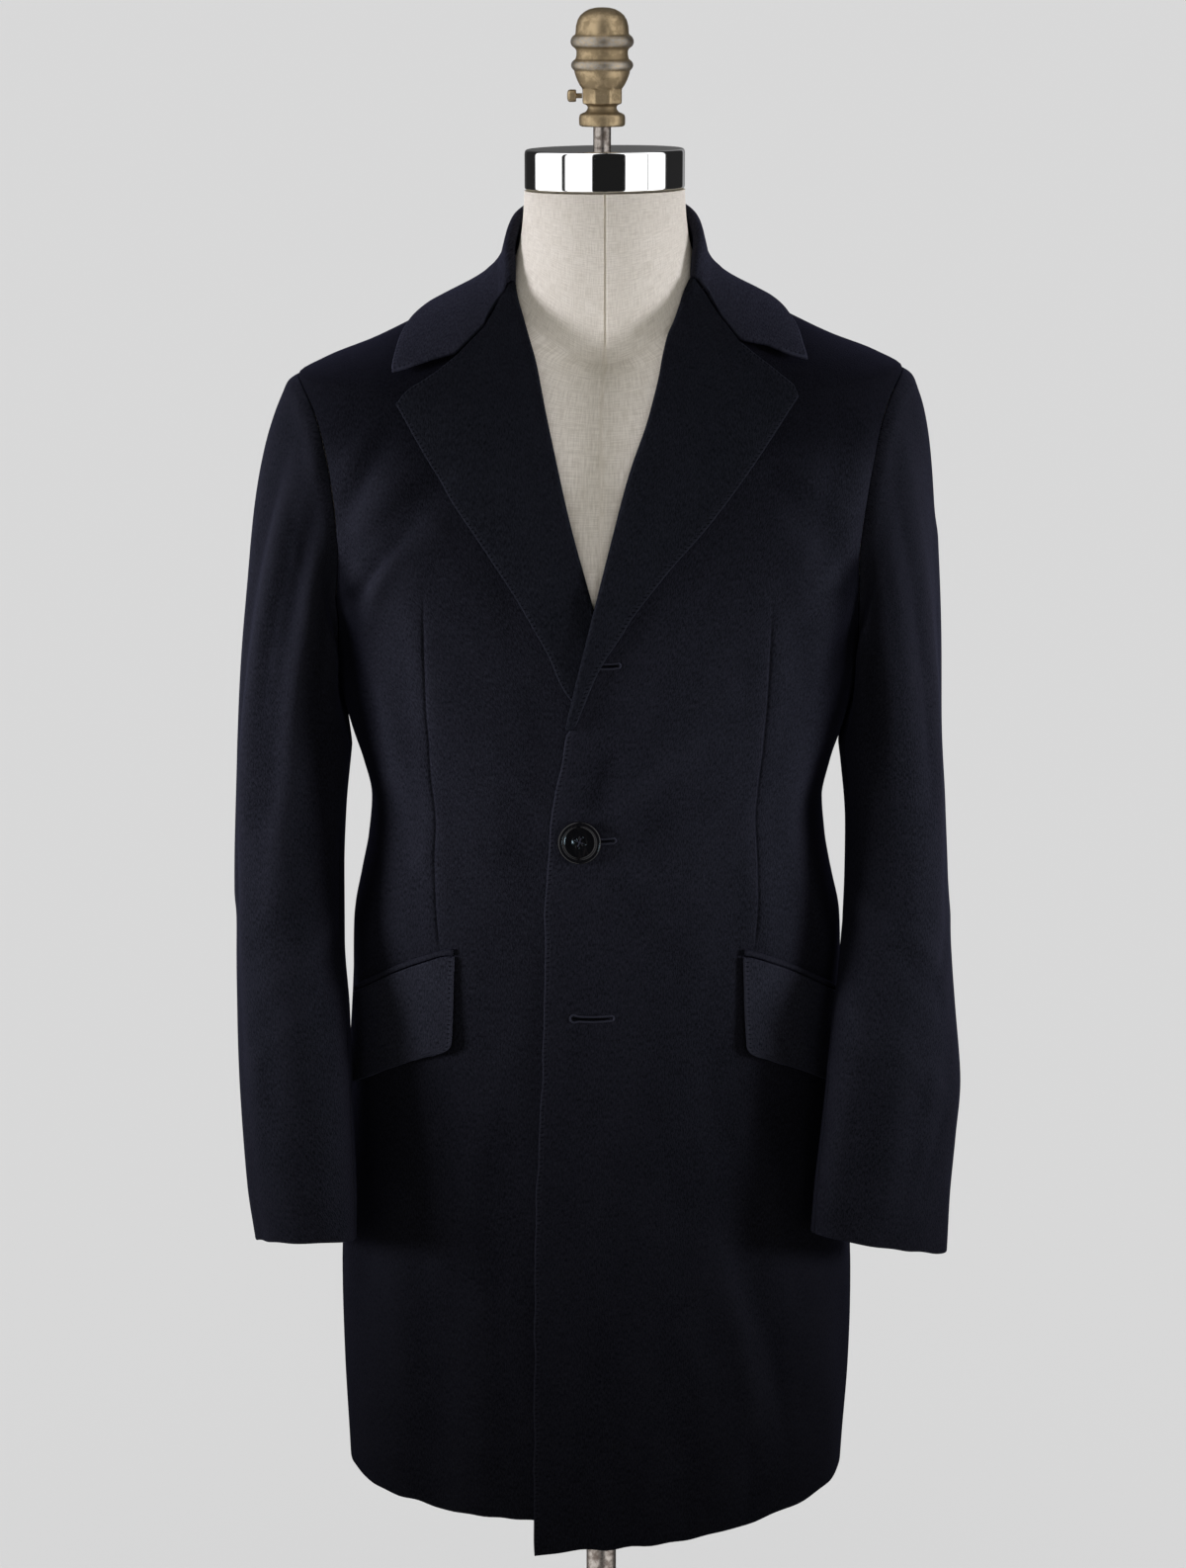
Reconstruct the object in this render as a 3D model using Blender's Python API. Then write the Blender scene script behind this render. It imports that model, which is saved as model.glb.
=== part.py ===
"""Wool overcoat on a limbless dress form.

Metres, +Z up. The origin is on the floor under the middle of the stand, the front faces -Y, and the
wearer's left is +X. The coat's outer face is one "skin": a stack of rings round the trunk, each with
its own height at the side, front and back. A place on it is a bearing (0 at the front, 90 degrees at
the wearer's left, 180 at the back) and a height, the ring's height at the side. Each cloth piece is a
patch of that skin, or a sleeve that grows out of its armhole, given a wall thickness.
"""

import math

import bpy
import numpy as np

for leftover in list(bpy.data.objects):
    bpy.data.objects.remove(leftover, do_unlink=True)

# ---------------------------------------------------------------- driving sizes, in metres
CLOTH = 0.0025  # wall of the fronts, back and sleeves: coating, canvas and lining together
FACING = 0.0022  # wall of the lapels, collar, flaps and welts
SEAM = 0.0003  # clear gap between neighbouring pieces
HALF_SEAM = SEAM / 2

HEM = 0.5245
UNDERARM = 1.195
SHOULDER = 1.4295
NECK_SEAM = 1.502
BREAK = 1.169  # where the left lapel starts to turn back

# The skin's rings. side_z is the ring's height at the side and names the ring; front_z and back_z are
# its heights at the centre front and centre back. Depths are measured from the side plane y = 0.
SKIN_COLUMNS = (
    "side_z", "front_z", "back_z", "half_width", "front_depth", "back_depth", "squareness", "back_squareness",
    "centre_x",
)
SKIN = np.array([
    (0.5245, 0.5245, 0.5245, 0.2065, 0.150, 0.150, 2.05, 2.05, -0.0048),  # hem
    (0.610, 0.610, 0.610, 0.2100, 0.148, 0.149, 2.10, 2.10, -0.0042),
    (0.690, 0.690, 0.690, 0.2110, 0.146, 0.148, 2.10, 2.10, -0.0040),
    (0.760, 0.760, 0.760, 0.2080, 0.145, 0.147, 2.10, 2.10, -0.0040),
    (0.870, 0.870, 0.870, 0.2020, 0.142, 0.145, 2.12, 2.12, -0.0040),
    (0.935, 0.935, 0.935, 0.1985, 0.138, 0.141, 2.20, 2.20, -0.0040),
    (0.993, 0.993, 0.993, 0.1960, 0.134, 0.135, 2.30, 2.30, -0.0040),
    (1.026, 1.026, 1.026, 0.1895, 0.131, 0.128, 2.25, 2.25, -0.0040),
    (1.058, 1.058, 1.058, 0.1830, 0.128, 0.121, 2.25, 2.25, -0.0040),
    (1.090, 1.090, 1.090, 0.1800, 0.126, 0.116, 2.25, 2.25, -0.0040),  # waist
    (1.124, 1.124, 1.124, 0.1870, 0.128, 0.117, 2.25, 2.25, -0.0040),
    (1.150, 1.150, 1.150, 0.1955, 0.130, 0.120, 2.25, 2.25, -0.0035),
    (1.195, 1.195, 1.195, 0.2070, 0.134, 0.126, 2.30, 2.30, -0.0030),  # underarm
    (1.280, 1.275, 1.282, 0.2240, 0.136, 0.134, 2.35, 2.35, -0.0025),  # chest
    (1.360, 1.342, 1.365, 0.2330, 0.130, 0.134, 2.35, 2.10, -0.0015),
    (1.4295, 1.394, 1.440, 0.2350, 0.114, 0.124, 2.25, 1.80, -0.0012),  # shoulder point
    (1.442, 1.404, 1.453, 0.2150, 0.109, 0.119, 2.20, 1.75, -0.0010),
    (1.456, 1.415, 1.468, 0.1790, 0.102, 0.112, 2.15, 1.75, -0.0005),
    (1.471, 1.428, 1.484, 0.1475, 0.093, 0.104, 2.10, 1.75, 0.0000),
    (1.486, 1.441, 1.501, 0.1180, 0.081, 0.095, 2.05, 1.85, 0.0010),
    (1.502, 1.457, 1.519, 0.0860, 0.068, 0.085, 2.00, 1.95, 0.0015),  # neck seam
    (1.515, 1.476, 1.530, 0.0775, 0.063, 0.0805, 2.00, 2.00, 0.0018),
    (1.530, 1.498, 1.541, 0.0715, 0.060, 0.0770, 2.00, 2.00, 0.0020),
    (1.545, 1.520, 1.552, 0.0675, 0.058, 0.0745, 2.00, 2.00, 0.0022),
    (1.556, 1.540, 1.562, 0.0660, 0.057, 0.0725, 2.00, 2.00, 0.0022),  # top of the collar's roll
])

# The left shoulder sits a little higher; the tilt grows from the waist up to the shoulders.
LEAN_SLOPE, LEAN_FROM, LEAN_FULL = 0.010, 0.95, 1.40

# Front edges, as seen from the front: height, then how far across (+X is the wearer's left).
# Above the last row each edge turns into its roll line.
LEFT_EDGE = np.array([(0.50, -0.0546), (0.767, -0.0528), (0.914, -0.0463), (0.959, -0.0448), (1.034, -0.0438),
                      (1.071, -0.0416), (1.108, -0.0380), (1.139, -0.0319), (BREAK, -0.0273)])
RIGHT_EDGE = np.array([(0.50, 0.0190), (0.767, 0.0175), (0.959, 0.0160), (BREAK, 0.0150)])
LEFT_ROLL = np.array([(BREAK, -0.0273), (1.200, -0.0205), (1.231, -0.0130), (1.270, -0.0035), (1.312, 0.0071),
                      (1.364, 0.0211), (1.405, 0.0360), (1.4286, 0.0428), (1.4628, 0.0514), (1.471, 0.0555),
                      (1.496, 0.0639), (1.5035, 0.0680)])
RIGHT_ROLL = np.array([(BREAK, 0.0150), (1.220, 0.0035), (1.2685, -0.0092), (1.3293, -0.0255), (1.3868, -0.0388),
                       (1.4099, -0.0441), (1.4416, -0.0510), (1.4688, -0.0595), (1.490, -0.0655), (1.5005, -0.0675)])
# Outer edge of each lapel from the break up to its corner, then the notch edge and the gorge seam up to
# the roll, all as (height, across).
LEFT_LAPEL_EDGE = np.array([(1.176, -0.0200), (1.223, -0.0003), (1.244, 0.0131), (1.260, 0.0227), (1.286, 0.0426),
                            (1.3315, 0.0825), (1.379, 0.1182), (1.4205, 0.1465)])
LEFT_LAPEL_TOP = np.array([(1.4205, 0.1465), (1.4262, 0.1443), (1.4437, 0.1212), (1.4581, 0.1029)])
LEFT_GORGE = np.array([(1.4581, 0.1029), (1.4745, 0.0893), (1.4890, 0.0795), (1.5035, 0.0680)])
LEFT_COLLAR_END = np.array([(1.4581, 0.1029), (1.4549, 0.1240), (1.4497, 0.1420), (1.4480, 0.1560)])
RIGHT_LAPEL_EDGE = np.array([(1.176, 0.0080), (1.194, -0.0234), (1.2334, -0.0431), (1.288, -0.0745),
                             (1.3518, -0.1167), (1.4150, -0.1545)])
RIGHT_LAPEL_TOP = np.array([(1.4150, -0.1545), (1.4215, -0.1485), (1.4352, -0.1255), (1.4483, -0.1093)])
RIGHT_GORGE = np.array([(1.4483, -0.1093), (1.4674, -0.0895), (1.4835, -0.0795), (1.5005, -0.0675)])
RIGHT_COLLAR_END = np.array([(1.4483, -0.1093), (1.4445, -0.1258), (1.4385, -0.1483), (1.4370, -0.1580)])

# Collar, by bearing from the back (180) round to the front: ring height of the roll and of the outer edge.
COLLAR_ROLL = np.array([(64.0, 1.512), (72.0, 1.523), (81.0, 1.5310), (92.0, 1.5415), (110.0, 1.5495),
                        (140.0, 1.5545), (180.0, 1.556)])
COLLAR_EDGE = np.array([(66.0, 1.4500), (70.0, 1.4585), (77.0, 1.4690), (83.0, 1.4755), (92.0, 1.4820),
                        (110.0, 1.4865), (140.0, 1.4885), (180.0, 1.4890)])

# Armholes: half-spread in degrees of bearing, front and back, and how square each loop is.
ARMHOLE_FRONT, ARMHOLE_BACK, ARMHOLE_SQUARENESS = 20.5, 18.0, 2.4
HEAD_STEP = 15  # degrees round the armhole between the sleeve's columns

# Sleeve rings below the head. across and y place the middle; half_long lies turn degrees back from
# straight outwards, half_short across it; the ring's plane tips by dz/dy and, outwards, by dz/dx.
SLEEVE_COLUMNS = ("z", "across", "y", "half_long", "half_short", "turn", "dz_dy", "dz_dx")
LEFT_SLEEVE = np.array([
    (1.130, 0.2305, -0.004, 0.0720, 0.0405, 90.0, -0.06, 0.00),
    (1.080, 0.2340, -0.014, 0.0690, 0.0395, 88.0, -0.08, 0.00),
    (1.030, 0.2350, -0.027, 0.0670, 0.0405, 84.0, -0.10, 0.00),
    (0.980, 0.2347, -0.047, 0.0650, 0.0430, 75.0, -0.12, -0.03),
    (0.930, 0.2327, -0.073, 0.0660, 0.0435, 62.0, -0.14, -0.06),
    (0.880, 0.2320, -0.086, 0.0660, 0.0420, 48.0, -0.17, -0.10),
    (0.835, 0.2282, -0.092, 0.0645, 0.0400, 43.0, -0.20, -0.14),
    (0.788, 0.2236, -0.098, 0.0630, 0.0380, 39.0, -0.23, -0.18),
    (0.746, 0.2214, -0.102, 0.0625, 0.0360, 36.0, -0.26, -0.20),
])
RIGHT_SLEEVE = np.array([
    (1.130, -0.2447, -0.004, 0.0720, 0.0447, 90.0, -0.06, 0.00),
    (1.080, -0.2481, -0.012, 0.0690, 0.0431, 90.0, -0.08, 0.00),
    (1.030, -0.2493, -0.023, 0.0660, 0.0427, 88.0, -0.12, 0.00),
    (0.980, -0.2490, -0.040, 0.0640, 0.0429, 84.0, -0.16, 0.00),
    (0.930, -0.2456, -0.062, 0.0620, 0.0438, 78.0, -0.20, 0.00),
    (0.880, -0.2440, -0.074, 0.0610, 0.0435, 74.0, -0.24, 0.00),
    (0.835, -0.2422, -0.082, 0.0600, 0.0425, 70.0, -0.27, 0.00),
    (0.788, -0.2399, -0.088, 0.0580, 0.0410, 68.0, -0.29, 0.00),
    (0.745, -0.2372, -0.092, 0.0560, 0.0370, 66.0, -0.30, -0.02),
])
SLEEVE_SQUARENESS = 2.15
FRONT_SLEEVE_SEAM, BACK_SLEEVE_SEAM = 150.0, 240.0  # round the sleeve from its outer side, through the front

LAID_CLEAR = 0.0021  # between cloth that is turned back and what it lies on
FOLD_RADIUS = 0.003  # of the roll, to the middle of the cloth
ROLL_SETTLE = 0.028  # how far from the roll the cloth comes to lie flat


# ---------------------------------------------------------------- small numeric helpers
def monotone(knots, values, at):
    """Cubic through the knots, with slopes that never make it overshoot them."""
    step = np.diff(knots)
    rise = np.diff(values) / step
    slope = np.concatenate([rise[:1], np.zeros(len(knots) - 2), rise[-1:]])
    same_way = rise[:-1] * rise[1:] > 0
    before, after = 2 * step[1:] + step[:-1], step[1:] + 2 * step[:-1]
    inner = slope[1:-1]
    inner[same_way] = (before + after)[same_way] / (
        before[same_way] / rise[:-1][same_way] + after[same_way] / rise[1:][same_way]
    )
    at = np.clip(np.asarray(at, float), knots[0], knots[-1])
    cell = np.clip(np.searchsorted(knots, at) - 1, 0, len(knots) - 2)
    width = step[cell]
    u = (at - knots[cell]) / width
    return (
        (1 + 2 * u) * (1 - u) ** 2 * values[cell]
        + u * (1 - u) ** 2 * width * slope[cell]
        + u * u * (3 - 2 * u) * values[cell + 1]
        + u * u * (u - 1) * width * slope[cell + 1]
    )


def smooth_step(value, start, end):
    u = np.clip((value - start) / (end - start), 0, 1)
    return u * u * (3 - 2 * u)


def unit(vectors):
    return vectors / np.linalg.norm(vectors, axis=-1, keepdims=True)


def along(points, fractions):
    """Points at these fractions of the length of a polyline, given as rows."""
    lengths = np.concatenate([[0], np.cumsum(np.linalg.norm(np.diff(points, axis=0), axis=1))])
    places = np.asarray(fractions) * lengths[-1]
    return np.stack([np.interp(places, lengths, points[:, k]) for k in range(points.shape[1])], -1)


# ---------------------------------------------------------------- the skin
def ring(column, height):
    return monotone(SKIN[:, 0], SKIN[:, SKIN_COLUMNS.index(column)], height)


def skin(bearing, height):
    """A superellipse ring at each height, tilted so that it meets front_z, side_z and back_z."""
    bearing, height = np.broadcast_arrays(np.asarray(bearing, float), np.asarray(height, float))
    in_front = np.cos(bearing) > 0
    depth = np.where(in_front, ring("front_depth", height), ring("back_depth", height))
    end_z = np.where(in_front, ring("front_z", height), ring("back_z", height))
    power = np.where(in_front, ring("squareness", height), ring("back_squareness", height))
    sine, cosine = np.sin(bearing), np.cos(bearing)
    sideways, forwards = np.abs(sine / ring("half_width", height)), np.abs(cosine / depth)
    reach = (sideways**power + forwards**power) ** (-1 / power)
    x = reach * sine + ring("centre_x", height)
    z = height + (end_z - height) * cosine**2 + LEAN_SLOPE * x * smooth_step(height, LEAN_FROM, LEAN_FULL)
    return np.stack([x, -reach * cosine, z], -1)


def skin_normal(bearing, height, nudge=1e-4):
    across = skin(bearing + nudge, height) - skin(bearing - nudge, height)
    up = skin(bearing, height + nudge) - skin(bearing, height - nudge)
    return unit(np.cross(across, up))


def off_skin(bearing, height, lift):
    """Points of the skin moved out along its normal."""
    lift = np.asarray(lift, float)
    return skin(bearing, height) + skin_normal(bearing, height) * lift[..., None]


def bearing_across(across, height):
    """Bearing, on the front of the ring at this height, of a point this far across."""
    power = ring("squareness", height)
    x = across - ring("centre_x", height)
    left = np.clip(1 - np.abs(x / ring("half_width", height)) ** power, 1e-9, None)
    return np.arctan2(x, ring("front_depth", height) * left ** (1 / power))


def place_on_front(z, across):
    """Bearing and ring height of points on the front, given as seen from the front."""
    z, across = np.asarray(z, float), np.asarray(across, float)
    height = z.copy()
    for _ in range(60):
        bearing = bearing_across(across, height)
        height = np.clip(height + 0.7 * (z - skin(bearing, height)[..., 2]), HEM, SKIN[-1, 0])
    return bearing_across(across, height), height


# ---------------------------------------------------------------- meshes and materials
def finish(name, color, roughness, metallic=0.0):
    made = bpy.data.materials.new(name)
    made.use_nodes = True
    shader = made.node_tree.nodes["Principled BSDF"]
    shader.inputs["Base Color"].default_value = (*color, 1.0)
    shader.inputs["Roughness"].default_value = roughness
    shader.inputs["Metallic"].default_value = metallic
    return made


WOOL = finish("navy_wool", (0.009, 0.010, 0.017), 0.95)
LINEN = finish("cream_linen", (0.76, 0.69, 0.60), 0.85)
CHROME = finish("chrome", (0.80, 0.80, 0.80), 0.12, 1.0)
STEEL = finish("steel", (0.60, 0.60, 0.58), 0.30, 1.0)
BRASS = finish("aged_brass", (0.55, 0.42, 0.20), 0.35, 1.0)
HORN = finish("dark_horn", (0.03, 0.027, 0.025), 0.25)
BASE_PAINT = finish("black_iron", (0.03, 0.03, 0.032), 0.45, 0.3)


def add_solid(name, points, faces, material, sharp_angle=40.0):
    """One closed mesh object; its faces are turned outwards if they come out inside out."""
    points, faces = np.asarray(points, float), [tuple(int(k) for k in face) for face in faces]
    volume = sum(
        np.dot(points[face[0]], np.cross(points[face[k]], points[face[k + 1]]))
        for face in faces
        for k in range(1, len(face) - 1)
    )
    if volume < 0:
        faces = [face[::-1] for face in faces]
    mesh = bpy.data.meshes.new(name)
    mesh.from_pydata(points.tolist(), [], faces)
    mesh.materials.append(material)
    mesh.shade_smooth()
    mesh.set_sharp_from_angle(angle=math.radians(sharp_angle))
    made = bpy.data.objects.new(name, mesh)
    bpy.context.scene.collection.objects.link(made)
    return made


def grid_faces(rows, columns, first=0, wrap=False):
    """Quads of a grid of points stored row by row."""
    row = np.arange(rows - 1)[:, None]
    column = np.arange(columns if wrap else columns - 1)[None, :]
    after = (column + 1) % columns
    here, above = row * columns, (row + 1) * columns
    corners = (here + column, here + after, above + after, above + column)
    return first + np.stack([np.broadcast_to(c, (rows - 1, column.size)) for c in corners], -1).reshape(-1, 4)


def add_wall(name, outer, inner, material=WOOL):
    """The closed wall between two grids of the same size."""
    rows, columns = outer.shape[:2]
    count = rows * columns
    index = np.arange(count).reshape(rows, columns)
    border = np.concatenate([index[0, :-1], index[:-1, -1], index[-1, :0:-1], index[:0:-1, 0]])
    following = np.roll(border, -1)
    rim = np.stack([following, border, border + count, following + count], -1)
    face_rows = grid_faces(rows, columns)
    faces = np.concatenate([face_rows, face_rows[:, ::-1] + count, rim])
    return add_solid(name, np.concatenate([outer.reshape(-1, 3), inner.reshape(-1, 3)]), faces, material)


def add_stack(name, rings, material, sharp_angle=40.0):
    """A solid through closed rings, with a fan at each end."""
    rows, columns = rings.shape[:2]
    points = np.concatenate([rings.reshape(-1, 3), rings[:1].mean(axis=1), rings[-1:].mean(axis=1)])
    around = np.arange(columns)
    after = (around + 1) % columns
    bottom = np.stack([np.full(columns, rows * columns), after, around], -1)
    last = (rows - 1) * columns
    top = np.stack([np.full(columns, rows * columns + 1), last + around, last + after], -1)
    faces = [*grid_faces(rows, columns, wrap=True), *bottom, *top]
    return add_solid(name, points, faces, material, sharp_angle)


def turned_rings(profile, sides, centre=(0.0, 0.0)):
    """Rings of a turned shape about +Z, from rows of radius and height."""
    angle = np.arange(sides) * 2 * math.pi / sides
    profile = np.asarray(profile, float)
    x = centre[0] + profile[:, :1] * np.cos(angle)
    y = centre[1] + profile[:, :1] * np.sin(angle)
    return np.stack([x, y, np.broadcast_to(profile[:, 1:2], x.shape)], -1)


# ---------------------------------------------------------------- folds that the whole cloth shows
# Each is a soft ridge (rise > 0) or trough (rise < 0) along a line between two places: from bearing in
# degrees and height, to bearing and height, half-width and rise in metres.
TRUNK_FOLDS = np.array([
    (-68.0, 1.262, -47.0, 1.330, 0.014, 0.0040),  # drape below the right armhole
    (-66.0, 1.300, -46.0, 1.372, 0.013, -0.0030),
    (-52.0, 1.290, -50.0, 1.180, 0.016, 0.0020),
    (64.0, 1.250, 52.0, 1.330, 0.016, 0.0025),  # and its fainter fellow on the left
    (66.0, 1.290, 50.0, 1.370, 0.014, -0.0020),
    (34.0, 0.760, 52.0, 0.600, 0.022, 0.0030),  # skirt
    (62.0, 0.800, 70.0, 0.540, 0.024, 0.0035),
    (-60.0, 0.780, -66.0, 0.540, 0.026, 0.0035),
    (-36.0, 0.700, -40.0, 0.530, 0.022, 0.0022),
    (112.0, 0.900, 118.0, 0.530, 0.026, 0.0050),  # back of the skirt
    (146.0, 0.820, 150.0, 0.530, 0.024, 0.0035),
    (-118.0, 0.880, -114.0, 0.530, 0.026, 0.0045),
    (-150.0, 0.840, -145.0, 0.530, 0.024, 0.0035),
    (128.0, 1.230, 150.0, 1.330, 0.016, 0.0035),  # behind the armholes
    (-130.0, 1.240, -148.0, 1.340, 0.016, 0.0035),
    (140.0, 1.060, 176.0, 1.085, 0.014, 0.0025),  # across the small of the back
    (-138.0, 1.055, -172.0, 1.075, 0.014, 0.0022),
])
MEAN_RADIUS = 0.185  # turns a bearing into a distance round the trunk


def fold_relief(bearing, height):
    """Sum of bells, each falling off with the distance from its fold's line."""
    bearing, height = np.broadcast_arrays(np.asarray(bearing, float), np.asarray(height, float))
    relief = np.zeros(bearing.shape)
    for from_bearing, from_height, to_bearing, to_height, half_width, rise in TRUNK_FOLDS:
        start = np.array([math.radians(from_bearing) * MEAN_RADIUS, from_height])
        run = np.array([math.radians(to_bearing) * MEAN_RADIUS, to_height]) - start
        here = np.stack([bearing * MEAN_RADIUS, height], -1) - start
        share = np.clip((here @ run) / (run @ run), 0, 1)
        away = np.linalg.norm(here - share[..., None] * run, axis=-1)
        relief += rise * np.exp(-((away / half_width) ** 2))
    return relief


# ---------------------------------------------------------------- fronts and back
# How far each front leaves the skin where they lap: height, left front out, right front in.
LAP = np.array([(0.50, 0.0017, -0.0017), (1.08, 0.0017, -0.0017), (1.16, 0.0031, -0.0046),
                (1.275, 0.0031, -0.0046), (1.345, 0.0, 0.0), (1.60, 0.0, 0.0)])
LEFT_LAP_ENDS = (0.035, 0.095)  # across, where the lift starts to fade and where it is gone
RIGHT_LAP_ENDS = (-0.065, -0.120)
# How far the left front's hem hangs below the ring of the hem: bearing in degrees, drop.
LEFT_HEM_DROP = np.array([(-24.0, 0.0320), (-19.0, 0.0295), (-8.0, 0.0235), (10.0, 0.0205), (30.0, 0.0175),
                          (50.0, 0.0125), (70.0, 0.0070), (90.0, 0.0020), (105.0, 0.0)])


def trunk_lift(side, bearing, height):
    """Distance of a trunk piece's outer face from the skin: its folds, and the lap of the fronts."""
    if side > 0:
        lap, ends = np.interp(height, LAP[:, 0], LAP[:, 1]), LEFT_LAP_ENDS
    else:
        lap, ends = np.interp(height, LAP[:, 0], LAP[:, 2]), RIGHT_LAP_ENDS
    across = np.where(np.cos(bearing) > 0, skin(bearing, height)[..., 0], side)
    lap = lap * (1 - smooth_step(side * across, side * ends[0], side * ends[1]))
    return fold_relief(bearing, height) + lap


def trunk(side, bearing, height, lift=0.0):
    """Place this far outside a trunk piece; the left front hangs lower towards its edge."""
    placed = off_skin(bearing, height, trunk_lift(side, bearing, height) + lift)
    if side > 0:
        drop = monotone(LEFT_HEM_DROP[:, 0], LEFT_HEM_DROP[:, 1], np.degrees(bearing))
        placed[..., 2] -= drop * (1 - smooth_step(height, HEM, 1.05))
    return placed


def armhole(side, turn):
    """Bearing and height round an armhole; turn is 0 at the shoulder point and grows through the front."""
    spread = np.where(np.sin(turn) > 0, ARMHOLE_FRONT, ARMHOLE_BACK)
    spread = np.radians(spread) * np.abs(np.sin(turn)) ** (2 / ARMHOLE_SQUARENESS)
    middle, half = (SHOULDER + UNDERARM) / 2, (SHOULDER - UNDERARM) / 2
    return side * (math.pi / 2 - np.sign(np.sin(turn)) * spread), middle + half * np.cos(turn)


def fold_radius(z):
    """Radius of the roll: tight where the fronts cross, fuller above."""
    return 0.0017 + (FOLD_RADIUS - 0.0017) * smooth_step(z, 1.27, 1.36)


ARMHOLE_TURNS = np.radians(np.arange(180, -1, -HEAD_STEP))
LOW_ROWS = np.array([HEM, 0.58, 0.66, 0.74, 0.82, 0.89, 0.95, 1.00, 1.045, 1.09, 1.13, 1.1655, 1.174])
NECK_ROWS = np.array([1.442, 1.456, 1.471, 1.486, NECK_SEAM - SEAM])


def front_edge(side):
    """The front edge and the roll line above it, as a function from height to bearing."""
    edge, roll = (LEFT_EDGE, LEFT_ROLL) if side > 0 else (RIGHT_EDGE, RIGHT_ROLL)
    z = np.linspace(edge[0, 0], roll[-1, 0], 120)
    below, above = monotone(edge[:, 0], edge[:, 1], z), monotone(roll[:, 0], roll[:, 1], z)
    tucked = (fold_radius(z) + 0.0005) * smooth_step(z, BREAK - 0.003, BREAK + 0.003)
    across = np.where(z < BREAK, below, above) + side * tucked
    bearing, height = place_on_front(z, across)
    return lambda at: np.interp(at, height, bearing)


def add_trunk_piece(name, side, is_front, columns):
    """A front or a back half: rows of the skin from the hem to the neck seam."""
    armhole_heights = armhole(side, ARMHOLE_TURNS)[1]
    heights = np.concatenate([LOW_ROWS, armhole_heights, NECK_ROWS])
    turns = ARMHOLE_TURNS if is_front else 2 * math.pi - ARMHOLE_TURNS
    hole_bearing = side * armhole(side, turns)[0]
    clear = HALF_SEAM / np.abs(skin(math.pi / 2, heights)[:, 0])
    outer_bearing = math.pi / 2 + np.where(is_front, -clear, clear)
    inside = slice(len(LOW_ROWS), len(LOW_ROWS) + len(ARMHOLE_TURNS))
    if is_front:
        outer_bearing[inside] = np.minimum(hole_bearing, outer_bearing[inside])
        inner_bearing = side * front_edge(side)(heights)
    else:
        outer_bearing[inside] = np.maximum(hole_bearing, outer_bearing[inside])
        inner_bearing = math.pi - clear
    share = np.linspace(0, 1, columns + 1)
    bearing = side * (inner_bearing[:, None] + (outer_bearing - inner_bearing)[:, None] * share)
    height = np.broadcast_to(heights[:, None], bearing.shape)
    return add_wall(name, trunk(side, bearing, height), trunk(side, bearing, height, -CLOTH))


# ---------------------------------------------------------------- sleeves
HEAD_PLACES = (0.0, 0.06, 0.15, 0.27, 0.41, 0.56, 0.71, 0.86)  # from armhole to the first sleeve ring
HEAD_LEAVE = (0.020, 0.115)  # strength of the cloth leaving the armhole, underneath and on top
HEAD_ARRIVE = (0.050, 0.340)  # and of its reaching the sleeve's first ring
HEAD_DIP = math.radians(26)  # the cap leaves the shoulder this far below level
# Ridges and troughs along the sleeves: turn in degrees and height at each end, half-width, rise.
SLEEVE_FOLDS = {
    1: np.array([(40.0, 1.39, 52.0, 1.00, 0.012, 0.0022), (10.0, 1.30, -20.0, 1.00, 0.014, 0.0020),
                 (120.0, 1.02, 60.0, 0.98, 0.010, 0.0022), (130.0, 0.95, 75.0, 0.90, 0.010, 0.0020),
                 (250.0, 1.10, 300.0, 1.00, 0.014, 0.0028)]),
    -1: np.array([(52.0, 1.40, 50.0, 0.98, 0.010, 0.0030), (84.0, 1.36, 80.0, 1.10, 0.010, -0.0020),
                  (20.0, 1.38, 24.0, 1.02, 0.012, 0.0018), (130.0, 1.00, 70.0, 0.96, 0.010, 0.0020),
                  (250.0, 1.12, 300.0, 1.02, 0.014, 0.0028)]),
}
SLEEVE_RADIUS = 0.055


def sleeve_ring(side, turn, z):
    """A superellipse across the arm, turned about Z; turn is 0 on its outer side and 90 in front."""
    table = LEFT_SLEEVE if side > 0 else RIGHT_SLEEVE
    knots = -table[:, 0]
    value = {name: monotone(knots, table[:, k], -z) for k, name in enumerate(SLEEVE_COLUMNS)}
    angle = np.radians(value["turn"])
    outward, back = np.cos(turn), -np.sin(turn)
    long_part = np.abs(outward * np.cos(angle) + back * np.sin(angle)) / value["half_long"]
    short_part = np.abs(back * np.cos(angle) - outward * np.sin(angle)) / value["half_short"]
    reach = (long_part**SLEEVE_SQUARENESS + short_part**SLEEVE_SQUARENESS) ** (-1 / SLEEVE_SQUARENESS)
    x = value["across"] + side * reach * outward
    y = value["y"] + reach * back
    return np.stack([x, y, z + reach * (value["dz_dy"] * back + value["dz_dx"] * outward)], -1)


def sleeve_relief(side, turn, z):
    relief = np.zeros(np.broadcast(turn, z).shape)
    for from_turn, from_z, to_turn, to_z, half_width, rise in SLEEVE_FOLDS[side]:
        start = np.array([math.radians(from_turn) * SLEEVE_RADIUS, from_z])
        run = np.array([math.radians(to_turn) * SLEEVE_RADIUS, to_z]) - start
        middle = math.radians((from_turn + to_turn) / 2)
        near = middle + (turn - middle + math.pi) % (2 * math.pi) - math.pi
        here = np.stack(np.broadcast_arrays(near * SLEEVE_RADIUS, z), -1) - start
        share = np.clip((here @ run) / (run @ run), 0, 1)
        away = np.linalg.norm(here - share[..., None] * run, axis=-1)
        relief += rise * np.exp(-((away / half_width) ** 2))
    return relief


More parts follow.
